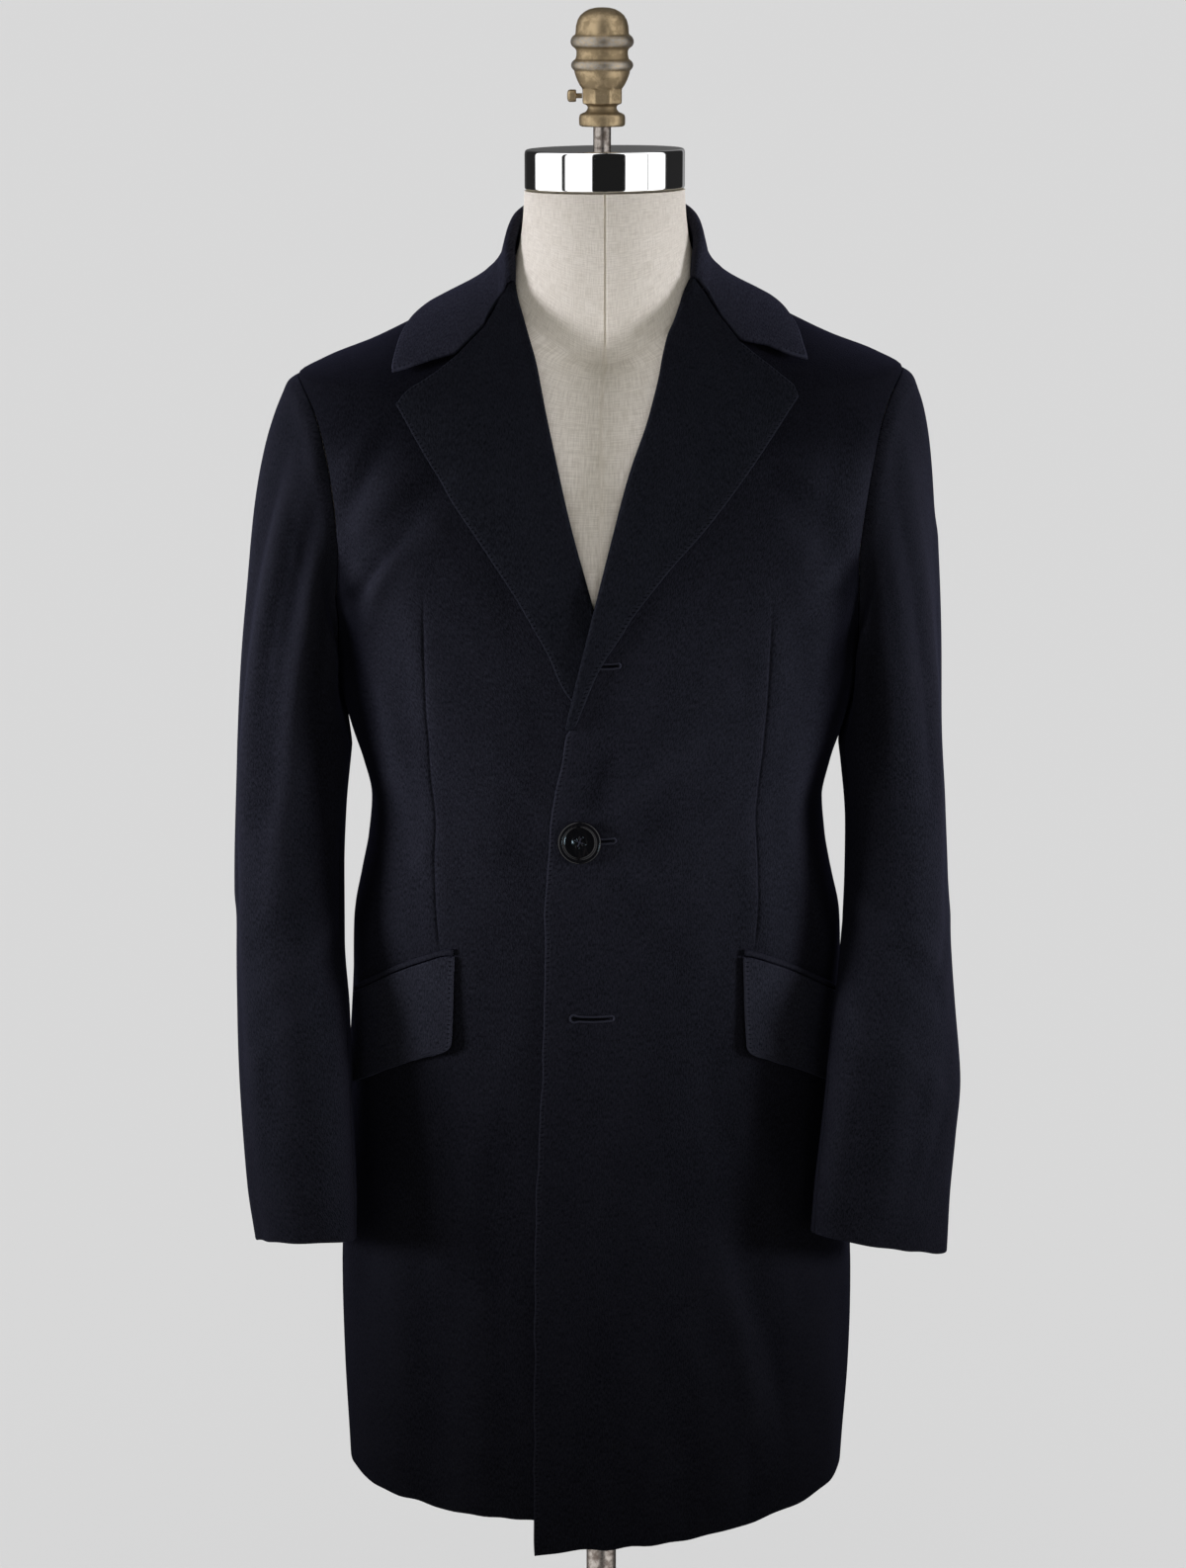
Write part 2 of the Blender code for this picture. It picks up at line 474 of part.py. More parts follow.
def sleeve_base(side, turn, place):
    """Middle surface of the sleeve: place 0 to 1 is the head, beyond that each whole step is one ring."""
    turn, place = np.broadcast_arrays(np.asarray(turn, float), np.asarray(place, float))
    table = LEFT_SLEEVE if side > 0 else RIGHT_SLEEVE
    loop_turns = np.linspace(0, 2 * math.pi, 73)[:-1]
    loop = trunk(side, *armhole(side, loop_turns))
    hub = loop.mean(axis=0)
    start = trunk(side, *armhole(side, turn))
    normal = skin_normal(*armhole(side, turn))
    inward = hub - start
    inward = unit(inward - (inward * normal).sum(-1, keepdims=True) * normal)
    start = start + inward * (SEAM + 0.0001)
    top = (1 + np.cos(turn)) / 2
    dip = HEAD_DIP * top
    leave = HEAD_LEAVE[0] + (HEAD_LEAVE[1] - HEAD_LEAVE[0]) * top
    arrive = HEAD_ARRIVE[0] + (HEAD_ARRIVE[1] - HEAD_ARRIVE[0]) * top
    leaving = unit(np.stack([side * np.cos(dip), -0.25 * np.sin(turn), -np.sin(dip)], -1)) * leave[..., None]
    first = sleeve_ring(side, turn, np.full(turn.shape, table[0, 0]))
    arriving = unit(np.stack([side * 0.07 * top, 0 * top, -np.ones(turn.shape)], -1)) * arrive[..., None]
    u = np.clip(place, 0, 1)[..., None]
    head = (
        (1 + 2 * u) * (1 - u) ** 2 * start
        + u * (1 - u) ** 2 * leaving
        + u * u * (3 - 2 * u) * first
        + u * u * (u - 1) * arriving
    )
    z = np.interp(place - 1, np.arange(len(table)), table[:, 0])
    return np.where((place < 1)[..., None], head, sleeve_ring(side, turn, z))


def sleeve(side, turn, place, lift):
    nudge = 1e-3
    here = sleeve_base(side, turn, place)
    around = sleeve_base(side, turn + nudge, place) - sleeve_base(side, turn - nudge, place)
    back = np.where(place > nudge, nudge, 0.0)
    down = sleeve_base(side, turn, place + nudge) - sleeve_base(side, turn, place - back)
    normal = side * unit(np.cross(around, down))
    relief = sleeve_relief(side, turn, here[..., 2]) * np.clip(place * 3, 0, 1)
    return here + normal * (relief + lift)[..., None]


def add_sleeve_piece(name, side, from_turn, to_turn):
    cells = round((to_turn - from_turn) / HEAD_STEP)
    clear = SEAM / SLEEVE_RADIUS
    turn = np.linspace(math.radians(from_turn), math.radians(to_turn), cells + 1)
    turn[0] += clear
    turn[-1] -= clear
    rings = len(LEFT_SLEEVE)
    place = np.concatenate([HEAD_PLACES, np.arange(1, rings + 1)])
    turn, place = np.meshgrid(turn, place)
    return add_wall(name, sleeve(side, turn, place, 0.0), sleeve(side, turn, place, -CLOTH))


# ---------------------------------------------------------------- lapels and collar
def coons(roll, edge, start, end, along_roll, across_roll):
    """Surface patch inside four border lines, each given as a polyline and read by its length."""
    u, w = along_roll, across_roll
    roll_at, edge_at, start_at, end_at = along(roll, u), along(edge, u), along(start, w), along(end, w)
    u, w = u[..., None], w[..., None]
    corners = (
        (1 - u) * (1 - w) * start[0] + (1 - u) * w * start[-1] + u * (1 - w) * end[0] + u * w * end[-1]
    )
    return (1 - w) * roll_at + w * edge_at + (1 - u) * start_at + u * end_at - corners


def turned_cloth(side, bearing, height, radius, stand=None, bridge=0.0):
    """Cloth that folds over its roll line and lies down: its middle surface and the way it faces.

    The first column of places lies on the roll line. The fold is a half circle from inside the wall
    below to above it; beyond it the cloth sinks to lie just clear of the piece below.
    """
    lying = LAID_CLEAR + FACING / 2
    roll = trunk(side, bearing[:, 0], height[:, 0])
    normal = skin_normal(bearing[:, 0], height[:, 0])
    toward = trunk(side, bearing[:, 1], height[:, 1]) - roll
    toward = unit(toward - (toward * normal).sum(-1, keepdims=True) * normal)
    radius = radius[:, None, None]
    angle = np.linspace(0, math.pi, 5)[None, :-1, None]
    spoke = -(toward[:, None] * np.sin(angle) + normal[:, None] * np.cos(angle))
    middle = roll[:, None] + toward[:, None] * radius + normal[:, None] * (radius - FACING / 2)
    fold = middle + spoke * radius
    laid_bearing, laid_height = bearing[:, 1:], height[:, 1:]
    away = np.linalg.norm(trunk(side, laid_bearing, laid_height) - roll[:, None], axis=-1)
    radius = radius[..., 0]
    stands = (2 * radius - FACING / 2 - lying) * (1 - smooth_step(away, radius, ROLL_SETTLE))
    hump = bridge * np.exp(-(((laid_height - NECK_SEAM) / 0.009) ** 2))
    laid = trunk(side, laid_bearing, laid_height, lying + stands + hump)
    points, facing = [fold, laid], [spoke, skin_normal(laid_bearing, laid_height)]
    if stand is not None:
        points.insert(0, trunk(side, *stand, -FACING / 2))
        facing.insert(0, -skin_normal(*stand))
    return np.concatenate(points, axis=1), np.concatenate(facing, axis=1)


LAPEL_SHARES = np.array([0.0, 0.09, 0.22, 0.36, 0.5, 0.64, 0.76, 0.88, 1.0])
COLLAR_SHARES = np.array([0.0, 0.14, 0.32, 0.55, 0.78, 1.0])


def add_lapel(name, side):
    """From the break up to the gorge seam: places worked out as seen from the front, then folded over."""
    if side > 0:
        roll_line, edge_line, top, gorge = LEFT_ROLL, LEFT_LAPEL_EDGE, LEFT_LAPEL_TOP, LEFT_GORGE
    else:
        roll_line, edge_line, top, gorge = RIGHT_ROLL, RIGHT_LAPEL_EDGE, RIGHT_LAPEL_TOP, RIGHT_GORGE
    roll_z = np.linspace(BREAK + 0.003, roll_line[-1, 0], 40)
    roll = np.stack([roll_z, monotone(roll_line[:, 0], roll_line[:, 1], roll_z)], -1)
    edge_z = np.linspace(edge_line[0, 0], edge_line[-1, 0], 40)
    edge = np.stack([edge_z, monotone(edge_line[:, 0], edge_line[:, 1], edge_z)], -1)
    end = np.concatenate([gorge[::-1], top[-2::-1]])
    off_gorge = np.array([-0.0010, -side * 0.0012])
    roll[-1], end = roll[-1] + off_gorge, end + off_gorge
    edge[-1] += off_gorge
    start = np.stack([roll[0], edge[0]])
    u = np.linspace(0, 1, 16)
    wide = np.linalg.norm(along(edge, u) - along(roll, u), axis=-1)
    radius = fold_radius(along(roll, u)[:, 0])
    first = radius / wide
    w = np.concatenate([np.zeros((len(u), 1)), first[:, None] + (1 - first)[:, None] * LAPEL_SHARES], axis=1)
    placed = coons(roll, edge, start, end, np.broadcast_to(u[:, None], w.shape), w)
    bearing, height = place_on_front(placed[..., 0], placed[..., 1])
    middle, facing = turned_cloth(side, bearing, height, radius)
    return add_wall(name, middle + facing * FACING / 2, middle - facing * FACING / 2)


def collar_half(side):
    """Half the collar from the centre back to the gorge: rows of middle points and facings."""
    gorge, end_line = (LEFT_GORGE, LEFT_COLLAR_END) if side > 0 else (RIGHT_GORGE, RIGHT_COLLAR_END)
    front_end = np.concatenate([gorge[::-1], end_line[1:]])
    end_bearing, end_height = place_on_front(front_end[:, 0], front_end[:, 1])
    end = np.stack([np.abs(end_bearing), end_height], -1)

    def border(table, last):
        degrees = np.linspace(180, table[0, 0], 40)
        line = np.stack([np.radians(degrees), monotone(table[:, 0], table[:, 1], degrees)], -1)
        shift = last - line[-1]
        return line + shift * smooth_step(-line[:, :1], -math.radians(110), -line[-1, 0])

    roll, edge = border(COLLAR_ROLL, end[0]), border(COLLAR_EDGE, end[-1])
    start = np.stack([roll[0], edge[0]])
    u = np.linspace(0, 1, 14)
    wide = np.linalg.norm(skin(*along(edge, u).T) - skin(*along(roll, u).T), axis=-1)
    radius = np.full(len(u), FOLD_RADIUS)
    first = radius / wide
    w = np.concatenate([np.zeros((len(u), 1)), first[:, None] + (1 - first)[:, None] * COLLAR_SHARES], axis=1)
    placed = coons(roll, edge, start, end, np.broadcast_to(u[:, None], w.shape), w)
    share = np.linspace(1, 0, 3)[None, :-1]
    seam = np.stack([along(roll, u)[:, 0], np.full(len(u), NECK_SEAM + HALF_SEAM)], -1)
    base = placed[:, 1]
    stand = base[:, None] + (seam - base)[:, None] * share[..., None]
    return turned_cloth(
        side, side * placed[..., 0], placed[..., 1], radius,
        (side * stand[..., 0], stand[..., 1]), bridge=0.003,
    )


def add_collar():
    left, right = collar_half(1), collar_half(-1)
    middle, facing = (np.concatenate([b[:0:-1], (a[:1] + b[:1]) / 2, a[1:]]) for a, b in zip(left, right))
    return add_wall("collar", middle + facing * FACING / 2, middle - facing * FACING / 2)


# ---------------------------------------------------------------- pockets
# Top edge of each slanted pocket: bearing in degrees, height. The flap hangs POCKET_DROP below it.
POCKET_TOP = np.array([(40.0, 0.9885), (44.0, 0.9880), (53.0, 0.9780), (60.0, 0.9670), (68.0, 0.9525),
                       (76.0, 0.9390), (86.0, 0.9230)])
POCKET_DROP, WELT_HIGH = 0.077, 0.006
POCKET_INNER = {1: 0.1095, -1: 0.1065}  # across, by side
POCKET_OUTER = math.radians(78)


def add_on_front(name, side, from_drop, to_drop, rows, puff):
    """A strip on the front panel from one drop below the pocket's top edge to another; puff lifts its foot."""
    drop = np.linspace(from_drop, to_drop, rows + 1)
    share = np.linspace(0, 1, 9)
    middle_height = POCKET_TOP[0, 1] - (drop[0] + drop[-1]) / 2
    inner = bearing_across(POCKET_INNER[side], middle_height)
    bearing = inner + (POCKET_OUTER - inner) * share
    top = monotone(POCKET_TOP[:, 0], POCKET_TOP[:, 1], np.degrees(bearing))
    height = top[None, :] - drop[:, None]
    bearing = np.broadcast_to(bearing, height.shape)
    proud = 2 * SEAM + puff * np.linspace(0, 1, rows + 1)[:, None] * np.ones(height.shape)
    bearing = side * bearing
    outer = trunk(side, bearing, height, proud + FACING)
    return add_wall(name, outer, trunk(side, bearing, height, proud))


# ---------------------------------------------------------------- button
BUTTON_PLACE = (1.0840, -0.0176)  # height, across
BUTTON_PROFILE = np.array([
    (0.0110, 0.0000), (0.0150, 0.0009), (0.0158, 0.0022), (0.0154, 0.0034), (0.0143, 0.0040),
    (0.0128, 0.0037), (0.0114, 0.0026), (0.0080, 0.0021),
])  # radius, height above its underside


def add_button():
    bearing, height = place_on_front(*(np.array([value]) for value in BUTTON_PLACE))
    place = trunk(1, bearing, height, 0.0011)[0]
    outward = skin_normal(bearing, height)[0]
    sideways = unit(np.cross((0.0, 0.0, 1.0), outward))
    upward = np.cross(outward, sideways)
    rings = turned_rings(BUTTON_PROFILE, 24)
    placed = place + rings[..., :1] * sideways + rings[..., 1:2] * upward + rings[..., 2:] * outward
    return add_stack("button", placed, HORN, 25.0)


# ---------------------------------------------------------------- dress form and stand
# How far the torso lies inside the skin, by height: it carries the shoulders and is slimmer below.
FORM_INSET = np.array([(0.80, 0.0230), (0.95, 0.0190), (1.09, 0.0120), (1.20, 0.0130), (1.28, 0.0115),
                       (1.36, 0.0082), (1.41, 0.0062), (1.43, 0.0058), (1.49, 0.0050)])
FORM_ROWS = np.array([0.80, 0.87, 0.94, 1.00, 1.05, 1.09, 1.14, 1.19, 1.25, 1.31, 1.36, 1.40, 1.4295, 1.442,
                      1.456, 1.471, 1.486])
# The neck's rings, with the skin's first six columns.
NECK = np.array([
    (1.494, 1.441, 1.508, 0.0880, 0.0690, 0.0800),
    (1.503, 1.459, 1.518, 0.0775, 0.0645, 0.0735),
    (1.515, 1.480, 1.527, 0.0705, 0.0618, 0.0700),
    (1.530, 1.510, 1.538, 0.0655, 0.0600, 0.0678),
    (1.550, 1.540, 1.552, 0.0628, 0.0592, 0.0660),
    (1.5680, 1.5680, 1.5680, 0.0618, 0.0590, 0.0645),
])
FORM_SIDES = 32
CAP_RADIUS = (0.0617, 0.0600)  # across, deep
CAP_MIDDLE = (0.0020, 0.0030)
CAP_PROFILE = np.array([(0.965, 1.5684), (1.0, 1.5704), (1.0, 1.5975), (0.975, 1.5990), (0.45, 1.5996)])


def add_torso():
    bearing = (np.arange(FORM_SIDES) + 0.5) * 2 * math.pi / FORM_SIDES
    at, height = np.meshgrid(bearing, FORM_ROWS)
    inset = monotone(FORM_INSET[:, 0], FORM_INSET[:, 1], height)
    torso = off_skin(at, height, -inset)
    torso[0, :, 2] = FORM_ROWS[0]
    side_z, front_z, back_z, wide, front_depth, back_depth = NECK.T[:, :, None]
    in_front = np.cos(bearing) > 0
    depth = np.where(in_front, front_depth, back_depth)
    reach = ((np.sin(bearing) / wide) ** 2 + (np.cos(bearing) / depth) ** 2) ** -0.5
    x = reach * np.sin(bearing) + CAP_MIDDLE[0]
    z = side_z + (np.where(in_front, front_z, back_z) - side_z) * np.cos(bearing) ** 2 + LEAN_SLOPE * x
    neck = np.stack([x, -reach * np.cos(bearing), z], -1)
    rounded = torso[:1] * 1.0
    rounded[..., :2] *= 0.965
    torso[0, :, 2] += 0.006
    return add_stack("form_torso", np.concatenate([rounded, torso, neck]), LINEN)


def add_neck_cap():
    rings = turned_rings(CAP_PROFILE, FORM_SIDES)
    rings[..., 0] = rings[..., 0] * CAP_RADIUS[0] + CAP_MIDDLE[0]
    rings[..., 1] = rings[..., 1] * CAP_RADIUS[1] + CAP_MIDDLE[1]
    rings[..., 2] += LEAN_SLOPE * rings[..., 0]
    return add_stack("form_neck_cap", rings, CHROME)


ROD_RADIUS = 0.0068
FINIAL_FOOT = 1.616
FINIAL_PROFILE = np.array([
    (0.0165, 1.6160), (0.0175, 1.6172), (0.0175, 1.6242), (0.0160, 1.6258), (0.0123, 1.6275), (0.0123, 1.6312),
    (0.0150, 1.6330), (0.0150, 1.6440), (0.0135, 1.6462), (0.0165, 1.6520), (0.0205, 1.6572), (0.0222, 1.6590),
    (0.0240, 1.6616), (0.0224, 1.6642), (0.0208, 1.6670), (0.0208, 1.6745), (0.0225, 1.6768), (0.0243, 1.6800),
    (0.0226, 1.6830), (0.0212, 1.6860), (0.0196, 1.6935), (0.0150, 1.7000), (0.0080, 1.7040), (0.0030, 1.7049),
])  # radius, height
FINIAL_SIDES = 16
FACETED = (1.6325, 1.6445)  # the block between these heights has eight flats
SCREW_Z = 1.6390


def add_finial():
    rings = turned_rings(FINIAL_PROFILE, FINIAL_SIDES)
    faceted = (FINIAL_PROFILE[:, 1] > FACETED[0]) & (FINIAL_PROFILE[:, 1] < FACETED[1])
    angle = np.arange(FINIAL_SIDES) * 2 * math.pi / FINIAL_SIDES
    eighth = math.pi / 4
    flat = math.cos(eighth / 2) / np.cos((angle + eighth / 2) % eighth - eighth / 2)
    rings[faceted, :, :2] *= flat[None, :, None] / math.cos(eighth / 2)
    return add_stack("form_finial", rings, BRASS, 25.0)


def add_screw():
    profile = np.array([(0.0019, 0.0), (0.0019, 0.0045), (0.0046, 0.0047), (0.0046, 0.0105), (0.0040, 0.0112)])
    rings = turned_rings(profile, 16)
    reach = 0.0150 + SEAM
    placed = np.stack([-reach - rings[..., 2], rings[..., 0], SCREW_Z + rings[..., 1]], -1)
    return add_stack("form_screw", placed, BRASS, 25.0)


BASE_PROFILE = np.array([
    (0.1900, 0.0000), (0.1900, 0.0070), (0.1860, 0.0110), (0.1100, 0.0150), (0.0400, 0.0190), (0.0280, 0.0220),
    (0.0240, 0.0300), (0.0240, 0.0540), (0.0225, 0.0560),
])
POLE_RADIUS = 0.0125


def build():
    for side, hand in ((1, "left"), (-1, "right")):
        add_trunk_piece("back_" + hand, side, False, 10)
        add_trunk_piece("front_" + hand, side, True, 12)
        add_sleeve_piece("top_sleeve_" + hand, side, BACK_SLEEVE_SEAM - 360, FRONT_SLEEVE_SEAM)
        add_sleeve_piece("under_sleeve_" + hand, side, FRONT_SLEEVE_SEAM, BACK_SLEEVE_SEAM)
        add_lapel("lapel_" + hand, side)
        add_on_front("pocket_welt_" + hand, side, -WELT_HIGH - 0.0005, -0.0005, 1, 0.0)
        add_on_front("pocket_flap_" + hand, side, 0.0, POCKET_DROP, 4, 0.0015)
    add_collar()
    add_button()
    add_torso()
    add_neck_cap()
    rod_ends = (CAP_PROFILE[-1, 1] + 0.0006, FINIAL_FOOT - SEAM)
    add_stack("form_rod", turned_rings([(ROD_RADIUS, end) for end in rod_ends], 20), STEEL)
    add_finial()
    add_screw()
    pole_ends = (BASE_PROFILE[-1, 1] + SEAM, FORM_ROWS[0] - SEAM)
    add_stack("stand_pole", turned_rings([(POLE_RADIUS, end) for end in pole_ends], 20), STEEL)
    add_stack("stand_base", turned_rings(BASE_PROFILE, 32), BASE_PAINT)


build()
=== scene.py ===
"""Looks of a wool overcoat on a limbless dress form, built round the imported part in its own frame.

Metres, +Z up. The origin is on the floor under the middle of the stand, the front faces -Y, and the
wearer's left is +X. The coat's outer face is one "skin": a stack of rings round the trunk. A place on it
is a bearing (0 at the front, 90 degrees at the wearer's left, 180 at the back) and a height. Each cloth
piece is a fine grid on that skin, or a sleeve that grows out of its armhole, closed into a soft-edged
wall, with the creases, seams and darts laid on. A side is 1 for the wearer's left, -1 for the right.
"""

import math

import bpy
import numpy as np
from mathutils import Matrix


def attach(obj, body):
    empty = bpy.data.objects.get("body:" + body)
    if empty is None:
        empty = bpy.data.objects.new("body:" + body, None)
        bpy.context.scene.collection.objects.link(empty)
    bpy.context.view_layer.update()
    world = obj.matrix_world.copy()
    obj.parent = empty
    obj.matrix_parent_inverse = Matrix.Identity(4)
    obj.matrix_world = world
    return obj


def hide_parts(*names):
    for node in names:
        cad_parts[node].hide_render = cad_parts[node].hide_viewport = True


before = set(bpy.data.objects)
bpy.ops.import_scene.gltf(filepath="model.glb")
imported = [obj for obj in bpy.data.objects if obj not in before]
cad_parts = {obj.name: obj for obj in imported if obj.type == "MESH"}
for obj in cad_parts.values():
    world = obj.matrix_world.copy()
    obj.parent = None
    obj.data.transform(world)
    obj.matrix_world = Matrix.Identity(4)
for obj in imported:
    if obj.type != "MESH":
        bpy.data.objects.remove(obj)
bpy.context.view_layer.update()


def by_side(left, right):
    """One table for each side of the coat."""
    return {1: np.array(left), -1: np.array(right)}


# ---------------------------------------------------------------- sizes, the same as the part's
CLOTH = 0.0025  # wall of the fronts, back and sleeves
FACING = 0.0022  # wall of the lapels, collar, flaps and welts
SEAM = 0.0003  # small gaps: below the neck seam, under the welts and above the pole
HALF_SEAM = 0.00003  # half the gap between two sewn cloths, which all but meet

HEM, UNDERARM, SHOULDER, NECK_SEAM = 0.5245, 1.195, 1.4295, 1.502
BREAK = 1.169  # where the roll lines start

SKIN_COLUMNS = (
    "side_z", "front_z", "back_z", "half_width", "front_depth", "back_depth", "squareness", "back_squareness",
    "centre_x",
)
FRONT_AND_BACK = (("front_depth", "back_depth"), ("front_z", "back_z"), ("squareness", "back_squareness"))
SKIN = np.array([
    (0.5245, 0.5245, 0.5245, 0.2065, 0.15, 0.15, 2.05, 2.05, -0.0048),  # hem
    (0.61, 0.61, 0.61, 0.21, 0.148, 0.149, 2.1, 2.1, -0.0042),
    (0.69, 0.69, 0.69, 0.211, 0.146, 0.148, 2.1, 2.1, -0.004),
    (0.76, 0.76, 0.76, 0.208, 0.145, 0.147, 2.1, 2.1, -0.004),
    (0.87, 0.87, 0.87, 0.202, 0.142, 0.145, 2.12, 2.12, -0.004),
    (0.935, 0.935, 0.935, 0.1985, 0.138, 0.141, 2.2, 2.2, -0.004),
    (0.993, 0.993, 0.993, 0.196, 0.134, 0.135, 2.3, 2.3, -0.004),
    (1.026, 1.026, 1.026, 0.1895, 0.131, 0.128, 2.25, 2.25, -0.004),
    (1.058, 1.058, 1.058, 0.183, 0.128, 0.121, 2.25, 2.25, -0.004),
    (1.09, 1.09, 1.09, 0.18, 0.126, 0.116, 2.25, 2.25, -0.004),  # waist
    (1.124, 1.124, 1.124, 0.187, 0.128, 0.117, 2.25, 2.25, -0.004),
    (1.15, 1.15, 1.15, 0.1955, 0.13, 0.12, 2.25, 2.25, -0.0035),
    (1.195, 1.195, 1.195, 0.207, 0.134, 0.126, 2.3, 2.3, -0.003),  # underarm
    (1.28, 1.275, 1.282, 0.224, 0.136, 0.134, 2.35, 2.35, -0.0025),  # chest
    (1.36, 1.342, 1.365, 0.233, 0.13, 0.134, 2.35, 2.1, -0.0015),
    (1.4295, 1.394, 1.44, 0.235, 0.114, 0.124, 2.25, 1.8, -0.0012),  # shoulder point
    (1.442, 1.404, 1.453, 0.215, 0.109, 0.119, 2.2, 1.75, -0.001),
    (1.456, 1.415, 1.468, 0.179, 0.102, 0.112, 2.15, 1.75, -0.0005),
    (1.471, 1.428, 1.484, 0.1475, 0.093, 0.104, 2.1, 1.75, 0.0),
    (1.486, 1.441, 1.501, 0.118, 0.081, 0.095, 2.05, 1.85, 0.001),
    (1.502, 1.457, 1.519, 0.086, 0.068, 0.085, 2.0, 1.95, 0.0015),  # neck seam
    (1.515, 1.476, 1.53, 0.0775, 0.063, 0.0805, 2.0, 2.0, 0.0018),
    (1.53, 1.498, 1.541, 0.0715, 0.06, 0.077, 2.0, 2.0, 0.002),
    (1.545, 1.52, 1.552, 0.0675, 0.058, 0.0745, 2.0, 2.0, 0.0022),
    (1.556, 1.54, 1.562, 0.066, 0.057, 0.0725, 2.0, 2.0, 0.0022),  # top of the collar's roll
])
LEAN_SLOPE, LEAN_FROM, LEAN_FULL = 0.01, 0.95, 1.4

# Front edges, roll lines, lapel outlines and gorge seams, all as (height, across) seen from the front.
EDGE = by_side([
    (0.5, -0.0546), (0.767, -0.0528), (0.914, -0.0463), (0.959, -0.0448), (1.034, -0.0438), (1.071, -0.0416),
    (1.108, -0.038), (1.139, -0.0319), (BREAK, -0.0273),
], [
    (0.5, 0.019), (0.767, 0.0175), (0.959, 0.016), (BREAK, 0.015),
])
ROLL = by_side([
    (BREAK, -0.0273), (1.2, -0.0205), (1.231, -0.013), (1.27, -0.0035), (1.312, 0.0071), (1.364, 0.0211),
    (1.405, 0.036), (1.4286, 0.0428), (1.4628, 0.0514), (1.471, 0.0555), (1.496, 0.0639), (1.5035, 0.068),
], [
    (BREAK, 0.015), (1.22, 0.0035), (1.2685, -0.0092), (1.3293, -0.0255), (1.3868, -0.0388),
    (1.4099, -0.0441), (1.4416, -0.051), (1.4688, -0.0595), (1.49, -0.0655), (1.5005, -0.0675),
])
LAPEL_EDGE = by_side([
    (1.176, -0.02), (1.223, -0.0003), (1.244, 0.0131), (1.26, 0.0227), (1.286, 0.0426), (1.3315, 0.0825),
    (1.379, 0.1182), (1.4205, 0.1465),
], [
    (1.176, 0.008), (1.194, -0.0234), (1.2334, -0.0431), (1.288, -0.0745), (1.3518, -0.1167),
    (1.415, -0.1545),
])
LAPEL_TOP = by_side([
    (1.4205, 0.1465), (1.4262, 0.1443), (1.4437, 0.1212), (1.4581, 0.1029),
], [
    (1.415, -0.1545), (1.4215, -0.1485), (1.4352, -0.1255), (1.4483, -0.1093),
])
GORGE = by_side([
    (1.4581, 0.1029), (1.4745, 0.0893), (1.489, 0.0795), (1.5035, 0.068),
], [
    (1.4483, -0.1093), (1.4674, -0.0895), (1.4835, -0.0795), (1.5005, -0.0675),
])
COLLAR_END = by_side([
    (1.4581, 0.1029), (1.4528, 0.124), (1.4442, 0.143), (1.4412, 0.154),
], [
    (1.4483, -0.1093), (1.4432, -0.1258), (1.4348, -0.1483), (1.4326, -0.157),
])

# Collar, by bearing from its front end round to the back (180): ring height of the roll and the outer edge.
COLLAR_ROLL = np.array([
    (64.0, 1.512), (72.0, 1.523), (81.0, 1.531), (92.0, 1.5415), (110.0, 1.5495), (140.0, 1.5545),
    (180.0, 1.556),
])
COLLAR_EDGE = np.array([
    (66.0, 1.45), (70.0, 1.4585), (77.0, 1.469), (83.0, 1.4755), (92.0, 1.482), (110.0, 1.4865),
    (140.0, 1.4885), (180.0, 1.489),
])

# Half the width of an armhole in degrees, towards the front and the back, and how square it is.
ARMHOLE_FRONT, ARMHOLE_BACK, ARMHOLE_SQUARENESS = 20.5, 18.0, 2.4

# Rings of each sleeve from the armhole down; angles in degrees, dz_dy and dz_dx are the ring's slopes.
SLEEVE_COLUMNS = ("z", "across", "y", "half_long", "half_short", "turn", "dz_dy", "dz_dx")
SLEEVE = by_side([
    (1.13, 0.2305, -0.004, 0.072, 0.0405, 90.0, -0.06, 0.0),
    (1.08, 0.234, -0.014, 0.069, 0.0395, 88.0, -0.08, 0.0),
    (1.03, 0.235, -0.027, 0.067, 0.0405, 84.0, -0.1, 0.0),
    (0.98, 0.2347, -0.047, 0.065, 0.043, 75.0, -0.12, -0.03),
    (0.93, 0.2327, -0.073, 0.066, 0.0435, 62.0, -0.14, -0.06),
    (0.88, 0.232, -0.086, 0.066, 0.042, 48.0, -0.17, -0.1),
    (0.835, 0.2282, -0.092, 0.0645, 0.04, 43.0, -0.2, -0.14),
    (0.788, 0.2236, -0.098, 0.063, 0.038, 39.0, -0.23, -0.18),
    (0.746, 0.2214, -0.102, 0.0625, 0.036, 36.0, -0.26, -0.2),
], [
    (1.13, -0.2447, -0.004, 0.072, 0.0447, 90.0, -0.06, 0.0),
    (1.08, -0.2481, -0.012, 0.069, 0.0431, 90.0, -0.08, 0.0),
    (1.03, -0.2493, -0.023, 0.066, 0.0427, 88.0, -0.12, 0.0),
    (0.98, -0.249, -0.04, 0.064, 0.0429, 84.0, -0.16, 0.0),
    (0.93, -0.2456, -0.062, 0.062, 0.0438, 78.0, -0.2, 0.0),
    (0.88, -0.244, -0.074, 0.061, 0.0435, 74.0, -0.24, 0.0),
    (0.835, -0.2422, -0.082, 0.06, 0.0425, 70.0, -0.27, 0.0),
    (0.788, -0.2399, -0.088, 0.058, 0.041, 68.0, -0.29, 0.0),
    (0.745, -0.2372, -0.092, 0.056, 0.037, 66.0, -0.3, -0.02),
])
SLEEVE_SQUARENESS = 2.15
FRONT_SLEEVE_SEAM, BACK_SLEEVE_SEAM = 150.0, 240.0  # turns of the two seams, in degrees
SLEEVE_RADIUS = 0.055  # what turns an angle round the sleeve into a length
MEAN_RADIUS = 0.185  # and the same round the trunk

